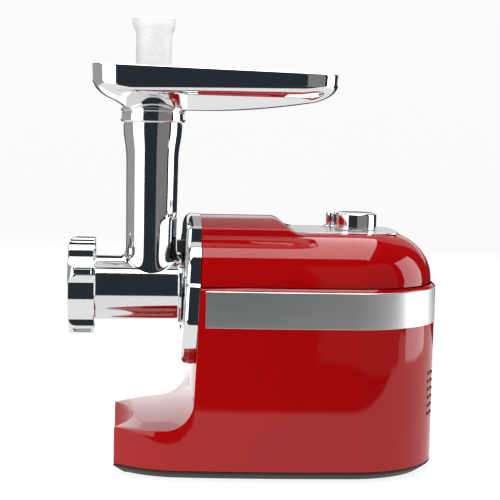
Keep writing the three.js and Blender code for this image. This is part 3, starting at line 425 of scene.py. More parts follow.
def tint(tree, value, dark, light):
    """Colour that runs from dark to light with a noise value."""
    node = tree.nodes.new("ShaderNodeMix")
    node.data_type = "RGBA"
    set_inputs(node, A=(*dark, 1), B=(*light, 1))
    tree.links.new(value, node.inputs["Factor"])
    return node.outputs["Result"]


def bump(tree, shader, value, strength, distance):
    node = add_node(tree, "Bump", Strength=strength, Distance=distance * MM)
    tree.links.new(value, node.inputs["Height"])
    tree.links.new(node.outputs["Normal"], shader.inputs["Normal"])


def surface(name, dark, light, rough, metallic=0.0, grain=900.0, stretch=(1, 1, 1),
            bump_depth=0.0, cloud=25.0, specular=0.5):
    """A finish whose colour, gloss and relief vary with noise.

    rough is the (lowest, highest) roughness. grain is the frequency of the relief and cloud
    that of the colour changes, both per metre. bump_depth is in millimetres.
    """
    material, tree, shader = node_material(name)
    vector = coordinates(tree, stretch)
    clouds = noise(tree, vector, cloud, 4)
    fine = noise(tree, vector, grain, 4, 0.6)
    tree.links.new(tint(tree, clouds, dark, light), shader.inputs["Base Color"])
    tree.links.new(spread(tree, fine, *rough), shader.inputs["Roughness"])
    set_inputs(shader, Metallic=metallic, Specular_IOR_Level=specular)
    bump(tree, shader, fine, 0.5, bump_depth)
    return material


RED = surface("red_gloss_enamel", (0.335, 0.0008, 0.0012), (0.36, 0.0012, 0.0016), (0.04, 0.07),
              grain=320, bump_depth=0.008)
CHROME = surface("polished_chrome", (0.86, 0.865, 0.87), (0.90, 0.905, 0.91), (0.035, 0.06),
                 metallic=1, grain=500, bump_depth=0.004)
CAST = surface("polished_casting", (0.80, 0.81, 0.82), (0.86, 0.87, 0.88), (0.05, 0.09),
               metallic=1, grain=180, bump_depth=0.012)
BRUSHED = surface("brushed_band", (0.80, 0.815, 0.815), (0.86, 0.875, 0.875), (0.36, 0.42),
                  metallic=1, grain=1.0, cloud=1.2, stretch=(14, 14, 2600), bump_depth=0.004)
STEEL = surface("ground_steel", (0.56, 0.565, 0.57), (0.64, 0.645, 0.65), (0.16, 0.28),
                metallic=1, grain=1500, bump_depth=0.01)
PANEL = surface("satin_panel", (0.70, 0.705, 0.71), (0.76, 0.765, 0.77), (0.22, 0.30),
                metallic=0.85, grain=2500, bump_depth=0.006)
BLACK = surface("black_moulding", (0.035, 0.036, 0.038), (0.05, 0.051, 0.053), (0.38, 0.5),
                grain=2600, bump_depth=0.03)
BASE_BLACK = surface("base_moulding", (0.016, 0.014, 0.0145), (0.028, 0.025, 0.026), (0.42, 0.52),
                     grain=2600, bump_depth=0.03, specular=0.25)
DARK = surface("black_socket", (0.012, 0.012, 0.013), (0.02, 0.02, 0.021), (0.3, 0.42),
               grain=2200, bump_depth=0.02)
RUBBER = surface("foot_rubber", (0.018, 0.018, 0.018), (0.03, 0.03, 0.03), (0.7, 0.85),
                 grain=3000, bump_depth=0.05)
NYLON = surface("natural_nylon", (0.74, 0.71, 0.62), (0.80, 0.77, 0.69), (0.35, 0.5),
                grain=1800, bump_depth=0.02)
LAMINATION = surface("stacked_sheet", (0.16, 0.165, 0.17), (0.26, 0.265, 0.27), (0.4, 0.6),
                     metallic=0.8, grain=1.0, cloud=1.0, stretch=(2400, 12, 12), bump_depth=0.08)
COPPER = surface("wound_copper", (0.55, 0.22, 0.09), (0.72, 0.33, 0.15), (0.25, 0.4),
                 metallic=1, grain=1.0, cloud=1.0, stretch=(1500, 30, 30), bump_depth=0.2)
BOARD = surface("printed_board", (0.015, 0.10, 0.045), (0.03, 0.16, 0.07), (0.35, 0.5),
                grain=900, cloud=160, bump_depth=0.02)


def milky_plastic():
    """Translucent white of the pusher."""
    material, tree, shader = node_material("milky_plastic")
    vector = coordinates(tree)
    fine = noise(tree, vector, 1400, 3)
    clouds = noise(tree, vector, 30, 3)
    colour = tint(tree, clouds, (0.88, 0.885, 0.89), (0.92, 0.925, 0.93))
    tree.links.new(colour, shader.inputs["Base Color"])
    tree.links.new(spread(tree, fine, 0.26, 0.36), shader.inputs["Roughness"])
    set_inputs(shader, Transmission_Weight=0.55, Subsurface_Weight=0.35, IOR=1.45,
               Subsurface_Radius=(0.01, 0.01, 0.01))
    bump(tree, shader, fine, 0.4, 0.02)
    return material


MILKY = milky_plastic()


def finish_piece(obj, material, body, nodes=(), crease=32):
    """Material, shading, body and CAD nodes of one visible piece."""
    obj.data.materials.clear()
    obj.data.materials.append(material)
    shade(obj, crease)
    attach(obj, body)
    if nodes:
        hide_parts(*nodes)


# ---- lower housing
def side_outline(inset):
    """What a cut across the body keeps: all behind the front wall and below the arm's top, in XZ."""
    centre_z = ARM_Z + ARM_RADIUS
    radius = ARM_RADIUS + inset
    centre_x = front_x(centre_z) + inset - radius
    low_x, high_z = TIP_X - 6, 175.0
    outline = np.vstack([
        straight((low_x, 0), (REAR_X + 6, 0), 1),
        straight((REAR_X + 6, 0), (REAR_X + 6, high_z), 1),
        straight((REAR_X + 6, high_z), (front_x(high_z) + inset, high_z), 1),
        straight((front_x(high_z) + inset, high_z), (front_x(centre_z) + inset, centre_z), 1),
        arc((centre_x, centre_z), radius, 0, -88, 30),
        arc((centre_x, centre_z), radius, -88, -89, 1),
        [(low_x, ARM_TIP_Z - inset)],
    ])
    return outline


def vent_slot(z):
    """One rounded slot through the rear wall."""
    radius = VENT_HEIGHT / 2
    end = VENT_HALF - radius
    outline = np.vstack([
        arc((end, z), radius, -90, 90, 8), [(end, z + radius)],
        arc((-end, z), radius, 90, 270, 8), [(-end, z - radius)],
    ])
    rings = [at_x(x, outline) for x in (120.0, REAR_X + 5)]
    return loft("slot", rings, capped=True)


def lower_housing():
    plan = body_plan()
    levels = ((0, HOUSING_LOW_Z), *LEDGE_LEVELS)
    rings = [at_z(offset(plan, inset), z) for inset, z in levels]
    outer = loft("outer", rings, capped=True)
    boolean(outer, prism_y(side_outline(0)), "INTERSECT")
    clean(outer)
    bevel(outer, 1.6, 4, 38)
    inner = prism_z(offset(plan, SKIN), 0, TOOL_TOP_Z)
    boolean(inner, prism_y(side_outline(SKIN)), "INTERSECT")
    boolean(outer, inner)
    boolean(outer, cylinder_x(-70, -20, SOCKET_HOLE, 0, HEAD_Z))
    for k in range(VENT_COUNT):
        boolean(outer, vent_slot(VENT_LOW_Z + VENT_PITCH * k))
    boolean(outer, cylinder_x(120, 170, GLAND_HOLE, 0, GLAND_Z, 48))
    clean(outer)
    outer.name = "housing_shell"
    finish_piece(outer, RED, "motor_unit", ["lower_housing"], 40)


# ---- upper cover
def cover_outline(inset, front):
    """Rounded plan of the cover at one level, open at the front, from -Y to +Y."""
    half, rear, corner = COVER_HALF - inset, COVER_REAR_X - inset, COVER_CORNER - inset
    x, y = rear - corner, half - corner
    return np.vstack([
        straight((front, -half), (x, -half), 40),
        arc((x, -y), corner, -90, 0, 48),
        straight((rear, -y), (rear, y), 6),
        arc((x, y), corner, 0, 90, 48),
        straight((x, half), (front, half), 40),
        [(front, half)],
    ])


def cover_dome():
    """Open sheet of the cover: upright foot, quarter-round shoulder and flat top."""
    levels = [(0.0, COVER_Z), (0.0, SHOULDER_Z)]
    for k in range(1, DOME_STEPS + 1):
        angle = math.pi / 2 * k / DOME_STEPS
        levels.append((SHOULDER * (1 - math.cos(angle)),
                       SHOULDER_Z + (TOP_Z - SHOULDER_Z) * math.sin(angle)))
    rings = [at_z(cover_outline(inset, front_x(z) + 0.2), z) for inset, z in levels]
    # the flat top closes towards the middle line
    top = rings[-1]
    rear_from = 60
    for share in (0.66, 0.33, 0.02):
        ring = top.copy()
        ring[:, 1] *= share
        drawn_in = rear_from + (top[:, 0] - rear_from) * (0.25 + 0.75 * share)
        ring[:, 0] = np.where(top[:, 0] > rear_from, drawn_in, top[:, 0])
        rings.append(ring)
    return loft("cover_dome", rings, closed=False)


def cowl_section(y):
    """Height of the raised cowl across the body."""
    edge_y, edge_z = 52.0, 202.3
    flank_y, flank_z, flank_slope = 51.0, 202.5, 3.4
    drop = COWL_TOP_Z - edge_z
    crown = (edge_y**2 + drop**2) / (2 * drop)
    y = np.abs(y)
    reach = np.minimum(y, edge_y + 6)
    arch = COWL_TOP_Z - crown + np.sqrt(crown**2 - reach**2)
    flank = flank_z + flank_slope * (flank_y - y)
    return soft_min(arch, flank, 0.7)


def cowl_profile(x):
    """Height of the cowl along the body: level, then an S-shaped slope, then its toe."""
    fall = COWL_TOP_Z - TOP_Z - 0.1
    slope = COWL_TOP_Z - fall * smoothstep((x - COWL_SLOPE_X) / COWL_SLOPE_LENGTH)
    toe_x, toe_length, toe_fall = 35, 11.0, 9.4
    toe = toe_fall * (np.maximum(x - toe_x, 0) / toe_length) ** 2.6
    return slope - toe


def cowl():
    """Raised sheet behind the head: the lower of its section and its profile, softened."""
    xs = np.concatenate([np.linspace(FRONT_X - 0.5, 14, 26)[:-1], np.linspace(14, 46, 60)])
    edge = np.concatenate([np.linspace(44, 48, 5)[:-1], np.linspace(48, 55, 40)])
    ys = np.concatenate([-edge[::-1], np.linspace(-44, 44, 40)[1:-1], edge])
    height = cowl_section(ys)
    rings = []
    for x in xs:
        z = np.maximum(soft_min(height, cowl_profile(x), 1.1), COWL_FOOT_Z)
        lean = (z - HEAD_Z) * FRONT_LEAN * (x < FRONT_X + 1)
        rings.append(np.column_stack([x + lean, ys, z]))
    return loft("cowl", rings, closed=False)


def thicken(obj, thickness):
    """Gives an open sheet its thickness, inwards."""
    solid = obj.modifiers.new("wall", "SOLIDIFY")
    solid.thickness = thickness * MM
    solid.offset = -1
    return apply_modifiers(obj)


def upper_cover():
    dome = thicken(cover_dome(), SKIN)
    shell = join("cover_shell", [dome, cowl()])
    finish_piece(shell, RED, "motor_unit", ["upper_cover"], 30)


# ---- trim band, base
def trim_band():
    """Strip let into the housing round the sides and the rear."""
    plan = offset(body_plan(), -BAND_PROUD)
    behind = plan[plan[:, 0] > BAND_FRONT_X + 1]
    order = np.argsort(np.where(behind[:, 1] < 0, behind[:, 0], 1000 - behind[:, 0]))
    path = behind[order]
    ahead = np.gradient(path, axis=0)
    ahead /= np.linalg.norm(ahead, axis=1)[:, None]
    inward = np.column_stack([-ahead[:, 1], ahead[:, 0]])
    start = path[0] - ahead[0] * (path[0][0] - BAND_FRONT_X) / ahead[0][0]
    end = path[-1] - ahead[-1] * (path[-1][0] - BAND_FRONT_X) / ahead[-1][0]
    path = np.vstack([start, path, end])
    inward = np.vstack([inward[0], inward, inward[-1]])
    low, high = BAND_Z
    section = [(BAND_DEPTH, low), (BAND_EDGE, low), (0.0, low + BAND_EDGE),
               (0.0, high - BAND_EDGE), (BAND_EDGE, high), (BAND_DEPTH, high)]
    rings = [at_z(path + inward * depth, z) for depth, z in section]
    strip = loft("brushed_band", rings, closed=False, loop=True)
    with editing(strip) as bm:
        bmesh.ops.holes_fill(bm, edges=[edge for edge in bm.edges if edge.is_boundary])
        bmesh.ops.recalc_face_normals(bm, faces=bm.faces)
    finish_piece(strip, BRUSHED, "motor_unit", ["trim_band"], 25)


def base_plate():
    plan = body_plan()
    low, high = BASE_Z
    levels = [(9.0, low), (7.4, low), (6.9, low + 0.3), (0.5, 6.2), (0.1, 6.6), (0.0, 7.0),
              (0.0, 8.0), (0.4, high), (3.0, high)]
    rings = [at_z(offset(plan, inset), z) for inset, z in levels]
    plate = loft("dark_base", rings, capped=True)
    finish_piece(plate, BASE_BLACK, "motor_unit", ["base_plate"], 30)


def feet():
    for k in range(1, 5):
        low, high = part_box(f"foot_{k}")
        centre = (low + high) / 2 / MM
        profile = rounded([(3.6, 0.0), (3.6, 9.6), (0.0, 8.6), (0.0, 6.2), (0.5, 5.6),
                           (0.5, 0.0)], 0.7)
        foot = lathe(f"foot_pad_{k}", profile, "Z", (centre.x, centre.y, 0), 64)
        finish_piece(foot, RUBBER, "motor_unit", [f"foot_{k}"])


# ---- front bezel
def bezel_outline():
    """Outline of the front plate round the head axis, in its own leaning plane (Y, Z)."""
    half, cover_half = HALF_WIDTH - 3, HALF_WIDTH - 5
    bottom, corner = BEZEL_BOTTOM_Z - HEAD_Z, BEZEL_CORNER
    ledge, shoulder = LEDGE_Z - HEAD_Z, SHOULDER_Z - HEAD_Z
    cowl_y, turn_y = 60, cover_half - SHOULDER
    angles = np.linspace(0, math.acos((cowl_y - turn_y) / SHOULDER), 26)[:-1]
    ys = np.linspace(cowl_y, 0, 40)
    right = np.vstack([
        straight((0, bottom), (half - corner, bottom), 24),
        arc((half - corner, bottom + corner), corner, -90, 0, 30),
        straight((half, bottom + corner), (half, ledge), 16),
        straight((half, ledge), (cover_half, shoulder), 3),
        np.column_stack([turn_y + SHOULDER * np.cos(angles),
                         shoulder + (TOP_Z - SHOULDER_Z) * np.sin(angles)]),
        np.column_stack([ys, cowl_section(ys) - HEAD_Z])[1:],
    ])
    left = right[1:-1][::-1] * (-1, 1)
    return np.vstack([right, left])


def bezel_plate():
    """Plate with a rounded edge, a shallow dish and a counterbored mouth."""
    outline = bezel_outline()
    angles = np.arctan2(outline[:, 1], outline[:, 0])
    spoke = spokes(angles)
    face, back, steps = -BEZEL_DEPTH, -0.3, 8
    rings = [(back, offset(outline, 1.5)), (back, offset(outline, 0.3)), (back - 0.3, outline),
             (face + BEZEL_EDGE, outline)]
    for k in range(1, steps + 1):
        turn = math.pi / 2 * k / steps
        rings.append((face + BEZEL_EDGE * (1 - math.sin(turn)),
                      offset(outline, BEZEL_EDGE * (1 - math.cos(turn)))))
    inner = offset(outline, BEZEL_EDGE)
    for share in (0.3, 0.6, 0.85):
        rings.append((face + BEZEL_DISH * share, inner * (1 - share) + spoke * DISH_EDGE * share))
    rings += [(face + BEZEL_DISH, spoke * DISH_EDGE), (face + 1.4, spoke * 36.9),
              (face + 2.1, spoke * BEZEL_MOUTH), (-10.0, spoke * BEZEL_MOUTH),
              (-10.0, spoke * BEZEL_COUNTERBORE), (back, spoke * BEZEL_COUNTERBORE)]
    return loft("chrome_front", [at_x(x, ring) for x, ring in rings], loop=True)


def bezel():
    plate = bezel_plate()
    sweep = sector_outline(31, 42.4, *THUMB_SLOT, 30)
    slot = loft("slot", [at_x(x, sweep) for x in (-20.0, -9.0)], capped=True)
    boolean(plate, slot, fast=True)
    lean = Matrix.Rotation(math.atan(FRONT_LEAN), 4, "Y")
    plate.data.transform(Matrix.Translation(Vector((FRONT_X, 0.0, HEAD_Z)) * MM) @ lean)
    finish_piece(plate, CHROME, "motor_unit", ["front_bezel"], 30)


def head_socket():
    profile = rounded([(-51.9, 33), (-51.9, 35.8), (-31.5, 35.8), (-31.5, 13.6), (-34.5, 13.6),
                       (-34.5, 27.6), (-46.8, 27.6), (-46.8, 33), (-51.9, 33)], 0.5)
    socket = lathe("socket_liner", profile[:-1], "X", (0, 0, HEAD_Z), closed=True)
    finish_piece(socket, DARK, "motor_unit", ["head_socket"])


def sector_outline(inner, outer, start, end, steps):
    """Part of a flat ring between two angles in degrees."""
    angles = np.radians(np.linspace(start, end, steps))
    spoke = spokes(angles)
    return np.vstack([spoke * outer, spoke[::-1] * inner])


def sector_x(x0, x1, inner, outer, start, end, steps=14):
    """Part of a ring about the head axis."""
    outline = sector_outline(inner, outer, start, end, steps) + (0, HEAD_Z)
    return loft("sector", [at_x(x, outline) for x in (x0, x1)], capped=True)


def lock_ring():
    """Collar with three inner catches and a grooved thumb tab."""
    ring = lathe("ring", [(-55.6, 33), (-55.6, 35.9), (-52.3, 35.9), (-52.3, 33)], "X",
                 (0, 0, HEAD_Z), closed=True)
    pieces = [ring]
    for middle in (-30, 90, 210):
        pieces.append(sector_x(-55.5, -52.4, 28.2, 33.6, middle - 18, middle + 18))
    thumb = sector_x(-63.2, -52.4, 31, 41.3, 87, 98, 6)
    for x in (-61.6, -59.4):
        boolean(thumb, sector_x(x - 0.35, x + 0.35, 40.7, 43, 80, 104, 4))
    pieces.append(bevel(thumb, 0.6))
    lock = join("lock_collar", pieces)
    finish_piece(lock, DARK, "lock", ["lock_ring"])


# ---- head
def feed_tube():
    """Tube that grows out of the barrel with a rounded saddle."""
    count = 128
    angles = TURN * np.arange(count) / count
    cos, sin = np.cos(angles), np.sin(angles)
    outer = TUBE_FOOT + 6.5 * (1 - 0.8 * np.abs(sin) ** 1.5)
    y_low = np.clip(outer * sin, -BARREL * 0.995, BARREL * 0.995)
    z_low = HEAD_Z + np.sqrt(BARREL**2 - y_low**2)
    start = np.column_stack([TUBE_X + outer * cos, y_low, z_low - 0.15])
    y_mid = TUBE_FOOT * sin
    z_mid = HEAD_Z + np.sqrt(BARREL**2 - y_mid**2)
    middle = np.column_stack([TUBE_X + TUBE_FOOT * cos, y_mid, z_mid + 0.3])
    rise = 7.0 + 5.0 * sin**2
    end = np.column_stack([TUBE_X + TUBE_FOOT * cos, y_mid, z_mid + rise])
    rings = [start - (0, 0, 3)]
    for t in np.linspace(0, 1, 14):
        rings.append(start * (1 - t) ** 2 + middle * 2 * t * (1 - t) + end * t**2)
    upper = rounded([(192, TUBE_FOOT), (262, 21.9, 6), (279, 24.6, 6), (296.6, 24.6, 0.5),
                     (297, 24.2), (297, 19.1), (296, TUBE_BORE), (182, TUBE_BORE)], 0.5, 6)
    for z, radius in upper:
        rings.append(at_z(circle(radius, (TUBE_X, 0), count), z))
    return loft("feed_tube", rings)


def head_lugs():
    """Three lugs that the lock ring's catches hold."""
    return [sector_x(-51.6, -47.4, LUG_INNER, LUG_OUTER, middle - 15, middle + 15, 10)
            for middle in (30, 150, 270)]


def grinder_head():
    profile = rounded([
        (-146, 31.4), (-148.5, 31.4), (-148.5, 33.4), (-147.9, 34, 0.3), (-135.4, 34, 0.4),
        (-134.5, 33.2), (-131.5, 27.3, 1), (-62, 26.6, 0.8), (-61.7, 29.6, 0.4), (-59.3, 29.6, 0.4),
        (-59.1, 27, 0.4), (-38.3, 27, 0.5), (-38, 26, 0.5), (-38, 9.3), (-43.5, 9.3), (-43.5, 23),
        (-139.9, 23), (-139.9, 29.4), (-146, 29.4), (-146, 31.4)], 0.4)
    barrel = lathe("barrel", profile[:-1], "X", (0, 0, HEAD_Z), 128, closed=True)
    boolean(barrel, prism_z(circle(TUBE_BORE, (TUBE_X, 0)), HEAD_Z + 2, 190))
    head = join("head_casting", [barrel, feed_tube(), *head_lugs()])
    finish_piece(head, CAST, "head", ["grinder_head"])


def from_grip(angles):
    """Angle from the middle of the nearest grip of the ring nut."""
    step = TURN / NUT_GRIPS
    return np.abs((angles - math.radians(NUT_GRIP_AT) + step / 2) % step - step / 2)


def nut_radius(angles):
    """Outline of the ring nut: a round ring with raised grips."""
    share = (math.radians(GRIP_FOOT) - from_grip(angles)) / math.radians(GRIP_FOOT - GRIP_TOP)
    edge = np.clip(share, 0, 1)
    return NUT_RADIUS + NUT_RISE * (edge - 0.04 * np.sin(TURN * edge))


def pocket_depth(angles, x):
    """Depth of the pocket in the crown of each grip, with softened edges."""
    edge = 0.5
    away = from_grip(angles) * NUT_CROWN
    across = smoothstep((POCKET_HALF - away) / edge)
    along = smoothstep((x - POCKET_X[0]) / edge) * smoothstep((POCKET_X[1] - x) / edge)
    return POCKET_DEPTH * across * along


def ring_nut():
    angles = TURN * np.arange(720) / 720
    outer = nut_radius(angles)
    spoke = spokes(angles)

    def ring(x, radius):
        place = spoke * np.broadcast_to(np.asarray(radius, float), angles.shape)[:, None]
        return at_x(x, place + (0, HEAD_Z))

    front, back = NUT_X
    thread_end, steps = -151.5, 24
    rings = [ring(thread_end, NUT_THREAD), ring(back, NUT_THREAD), ring(back, outer - 0.8),
             ring(back - 0.3, outer - 0.2), ring(back - 0.9, outer)]
    for x in np.linspace(back - 1.8, front + NUT_ROUNDING, 50):
        rings.append(ring(x, outer - pocket_depth(angles, x)))
    for k in range(1, steps + 1):
        turn = math.pi / 2 * k / steps
        x = front + NUT_ROUNDING * (1 - math.sin(turn))
        envelope = NUT_CROWN - NUT_FRONT_REACH * (1 - math.cos(turn))
        radius = np.minimum(soft_min(outer, envelope, 0.25), outer)
        rings.append(ring(x, radius - pocket_depth(angles, x)))
    rings += [ring(front, 29.5), ring(front + 0.2, 28.2), ring(front + 1.1, 27.2),
              ring(thread_end, 27)]
    nut = loft("ring_nut_grip", rings, loop=True)
    finish_piece(nut, CHROME, "nut", ["ring_nut"], 24)


def cutting_plate():
    front, back = PLATE_X
    bevelled = PLATE_RADIUS - 0.4
    profile = [(front, 0), (front, bevelled), (front + 0.4, PLATE_RADIUS),
               (back - 0.4, PLATE_RADIUS), (back, bevelled), (back, 0)]
    plate = lathe("disc", rounded(profile, 0.2, 2), "X", (0, 0, HEAD_Z), 120)
    tool_x = (-155, -140)
    holes = [cylinder_x(*tool_x, MIDDLE_HOLE, 0, HEAD_Z, 40)]
    for count, distance in PLATE_HOLES:
        for k in range(count):
            angle = TURN * k / count
            holes.append(cylinder_x(*tool_x, HOLE, distance * math.cos(angle),
                                    HEAD_Z + distance * math.sin(angle), 32))
    boolean(plate, join("holes", holes))
    boolean(plate, block(tool_x, (-2, 2), (HEAD_Z + 28, HEAD_Z + 33)))
    plate.name = "hole_plate"
    finish_piece(plate, STEEL, "plate", ["cutting_plate"])


def auger_flight():
    """Core with one broad flight: a round section with one raised side, twisted along X."""
    steps, count = 170, 72
    angles = TURN * np.arange(count) / count
    away = np.abs(((angles + math.pi) % TURN) - math.pi)
    radius = AUGER_CORE + FLIGHT_HEIGHT * (1 - smoothstep((away - 0.52) / 0.42))
    rings = []
    for k in range(steps + 1):
        x = AUGER_X[0] + (AUGER_X[1] - AUGER_X[0]) * k / steps
        turn = DRIVE_TURN + angles + TURN * AUGER_TURNS * k / steps
        rings.append(np.column_stack([np.full(count, x), radius * np.cos(turn),
                                      HEAD_Z + radius * np.sin(turn)]))
    return loft("screw", rings, capped=True)


def journal(x0, x1, radius, segments):
    """Round journal of the auger, with rounded ends."""
    profile = rounded([(x0, 0), (x0, radius), (x1, radius), (x1, 0)], 0.6)
    return lathe("journal", profile, "X", (0, 0, HEAD_Z), segments)


def auger():
    stub = bevel(turned_block((-146.2, -137), 4, DRIVE_TURN), 0.4, 2)
    tail = bevel(turned_block((-39, -27), 5, DRIVE_TURN), 0.6, 2)
    pin = journal(-150.8, -144, 3.4, 48)
    piece = join("auger_screw", [auger_flight(), stub, tail, pin, journal(-46, -37.5, 7.2, 64)])
    finish_piece(piece, CAST, "screw", ["auger"], 35)


def turned_block(x, half, turn):
    """Square bar on the head axis, turned about it."""
    piece = block(x, (-half, half), (-half, half))
    piece.data.transform(Matrix.Translation((0, 0, HEAD_Z * MM)) @ Matrix.Rotation(turn, 4, "X"))
    return piece


def knife():
    """Hub with four blades, widest where they meet the plate."""
    corners = [(8.5, -0.55), (26, -0.16), (27.5, 0.02), (26, 0.2), (8.5, 0.5)]
    pieces = []
    for k in range(4):
        middle = DRIVE_TURN + k * TURN / 4
        outline = np.array([(r * math.cos(middle + a), r * math.sin(middle + a)) for r, a in corners])
        rings = [at_x(x, offset(outline, inset) + (0, HEAD_Z))
                 for x, inset in ((-145.9, 0.0), (-143.8, 0.2), (-140.4, 0.8))]
        pieces.append(loft("blade", rings, capped=True))
    profile = rounded([(-145.9, 5.9), (-145.9, 9.4), (-140.4, 9.4), (-140.4, 5.9)], 0.5)
    hub = lathe("hub", profile, "X", (0, 0, HEAD_Z), 64, closed=True)
    piece = join("cross_knife", [*pieces, hub])
    finish_piece(piece, STEEL, "screw", ["knife"], 30)


# ---- tray and pusher
def rim_z(x):
    """Height of the tray's rim, which falls a little towards the rear."""
    return RIM_Z[0] + (x - TRAY_X[0]) / (TRAY_X[1] - TRAY_X[0]) * (RIM_Z[1] - RIM_Z[0])


def tray_outline(inset_x, inset_y=None, corner=None):
    """Rounded plan of the tray at one level, drawn in from its rim."""
    inset_y = inset_x if inset_y is None else inset_y
    corner = max(TRAY_CORNER - inset_x, 14) if corner is None else corner
    x0, x1, half = TRAY_X[0] + inset_x, TRAY_X[1] - inset_x, TRAY_HALF - inset_y
    return np.vstack([
        straight((x0 + corner, -half), (x1 - corner, -half), 60),
        arc((x1 - corner, corner - half), corner, -90, 0, 28),
        straight((x1, corner - half), (x1, half - corner), 30),
        arc((x1 - corner, half - corner), corner, 0, 90, 28),
        straight((x1 - corner, half), (x0 + corner, half), 60),
        arc((x0 + corner, half - corner), corner, 90, 180, 28),
        straight((x0, half - corner), (x0, corner - half), 30),
        arc((x0 + corner, corner - half), corner, 180, 270, 28),
    ])


def floor_z(x, y):
    """Underside of the sloping floor: it falls towards the throat from all sides."""
    ahead, behind = np.maximum(-105 - x, 0), np.maximum(x + 55, 0)
    along = 297.4 + 0.64 * ahead + 0.00089 * behind**2
    across = 297.0 + np.maximum(np.abs(y) - 18, 0) * 13.5 / 38
    gap = np.abs(along - across)
    soft = 2.5
    return np.maximum(along, across) + 0.25 * np.maximum(soft - gap, 0) ** 2 / soft


def wall_foot_z(x):
    """Height where the tray's wall starts to curl into its floor."""
    return 316.6 + 0.0257 * (x + 86) + 0.2 * np.maximum(-104 - x, 0)


def tray_sheet():
    """Underside of the tray from its rolled rim down the walls and over the floor to the throat."""
    rim = tray_outline(0)
    wall_z, foot_z = rim_z(rim[:, 0]), wall_foot_z(rim[:, 0])
    low = tray_outline(19, 9.5, 20)
    crease_z = floor_z(low[:, 0], low[:, 1])
    draw_in = 0.6
    rings = []
    for inset, lift in ((1.9, -1.5), (1.8, -0.5), (1.1, 0.0), (0.3, -0.4), (0.0, -1.2), (0.0, -2.2)):
        rings.append(at_z(tray_outline(inset), wall_z + lift))
    for share in (0.5, 0.95):
        rings.append(at_z(tray_outline(draw_in * share), wall_z * (1 - share) + foot_z * share))
    top = at_z(tray_outline(draw_in), foot_z)
    bend = at_z(tray_outline(3.0, 2.0), 0.35 * foot_z + 0.65 * crease_z)
    end = at_z(low, crease_z)
    for t in np.linspace(0, 1, 16):
        rings.append(top * (1 - t) ** 2 + bend * 2 * t * (1 - t) + end * t**2)
    angle = np.arctan2(low[:, 1], low[:, 0] - TUBE_X)
    throat = np.column_stack([TUBE_X + THROAT * np.cos(angle), THROAT * np.sin(angle)])
    for share in np.linspace(0, 1, 26)[1:]:
        place = low * (1 - share) + throat * share
        rings.append(at_z(place, floor_z(place[:, 0], place[:, 1])))
    return thicken(loft("tray_sheet", rings), SHEET)


def feed_tray():
    """Tray with the beaded collar that slips over the tube."""
    collar = rounded([
        (303.5, THROAT), (304.6, 24.0, 1), (304.4, 26.4, 0.5), (303.2, 27.2, 0.5), (301.6, 27.2, 0.5),
        (301.0, 26.3, 0.3), (300.0, 26.3, 0.3), (299.4, 27.2, 0.5), (297.4, 27.2, 0.5),
        (296.8, 26.4, 0.3), (295.8, 26.4, 0.3), (295.2, 27.0, 0.6), (289.0, 27.2, 1.2),
        (287.6, 26.3, 0.6), (287.6, 25.1), (297.3, 25.1), (297.3, THROAT)], 0.5)
    skirt = lathe("skirt", collar, "Z", (TUBE_X, 0, 0), 128, closed=True)
    tray = join("tray", [tray_sheet(), skirt])
    finish_piece(tray, CHROME, "tray", ["feed_tray"], 35)


def pusher():
    """Hollow plunger with a flared top and a stop ring that rests on the tray."""
    profile = rounded([
        (184, 0), (184, 12.2, 1), (302.5, 12.8, 1), (373.6, 13.4, 1), (375, 14.4, 0.8),
        (375, 17.0, 1.2), (374, 18.3, 1), (369.2, 18.5, 1.6), (366.4, 17.9, 1), (362, 15.3, 3),
        (307, 15.0, 3), (303.5, 16.8, 1), (303.5, 21.4, 0.5), (300.5, 21.4, 0.5), (300.5, 18.2, 0.5),
        (182, 18.1, 0.8), (181, 16.8, 0.8), (181, 0)], 0.8)
    piece = lathe("pusher_body", profile, "Z", (TUBE_X, 0, 0))
    finish_piece(piece, MILKY, "plunger", ["pusher"], 40)


# ---- controls
def knob():
    skirt = rounded([(200.0, 14.9), (199.9, 17.4, 0.4), (200.4, 17.9, 0.4), (213.0, 17.9, 0.6),
                     (214.0, 17.0, 0.6), (214.0, 0)], 0.4, 5)
    cap = lathe("knob_cap", [(211.0, 0), (211.0, 14.9), *skirt], "Z", (KNOB_X, 0, 0), 128)
    finish_piece(cap, CHROME, "knob", ["speed_knob"], 30)


def reverse_button():
    """Stem with a cap, hollowed below for the spring, and the collar round it."""
    stem = rounded([(185, 0), (185, 2, 0.3), (200.5, 2, 0.2), (200.5, 3.75, 0.1), (197, 3.75, 0.1),
                    (197, 4.4, 0.1), (211.9, 4.4, 0.5), (212.6, 3.7, 0.5), (212.6, 0)], 0.3)
    button = lathe("button_cap", stem, "Z", BUTTON_AT, 64)
    finish_piece(button, CHROME, "button", ["reverse_button"], 30)
    profile = rounded([(199.9, 4.9), (199.9, 6.8), (201.1, 6.8, 0.4), (201.5, 6.2, 0.3),
                       (201.5, 4.9)], 0.3)
    collar = lathe("button_collar", profile, "Z", BUTTON_AT, 64, closed=True)
    finish_piece(collar, CHROME, "motor_unit", ["reverse_collar"], 30)


def control_panel():
    x0, x1, half, corner = 34.0, 122.0, 35.5, 16.0
    outline = np.vstack([
        straight((x0, half), (x0, -half), 12),
        straight((x0, -half), (x1 - corner, -half), 12),
        arc((x1 - corner, corner - half), corner, -90, 0, 20),
        straight((x1, corner - half), (x1, half - corner), 8),
        arc((x1 - corner, half - corner), corner, 0, 90, 20),
        straight((x1 - corner, half), (x0, half), 12),
    ])
    levels = ((0, 198.6), (0, 199.55), (0.15, 199.7), (0.4, 199.75), (3, 199.75))
    rings = [at_z(offset(outline, inset), z) for inset, z in levels]
    plate = loft("panel_plate", rings, capped=True)
    finish_piece(plate, PANEL, "motor_unit", ["control_panel"], 30)


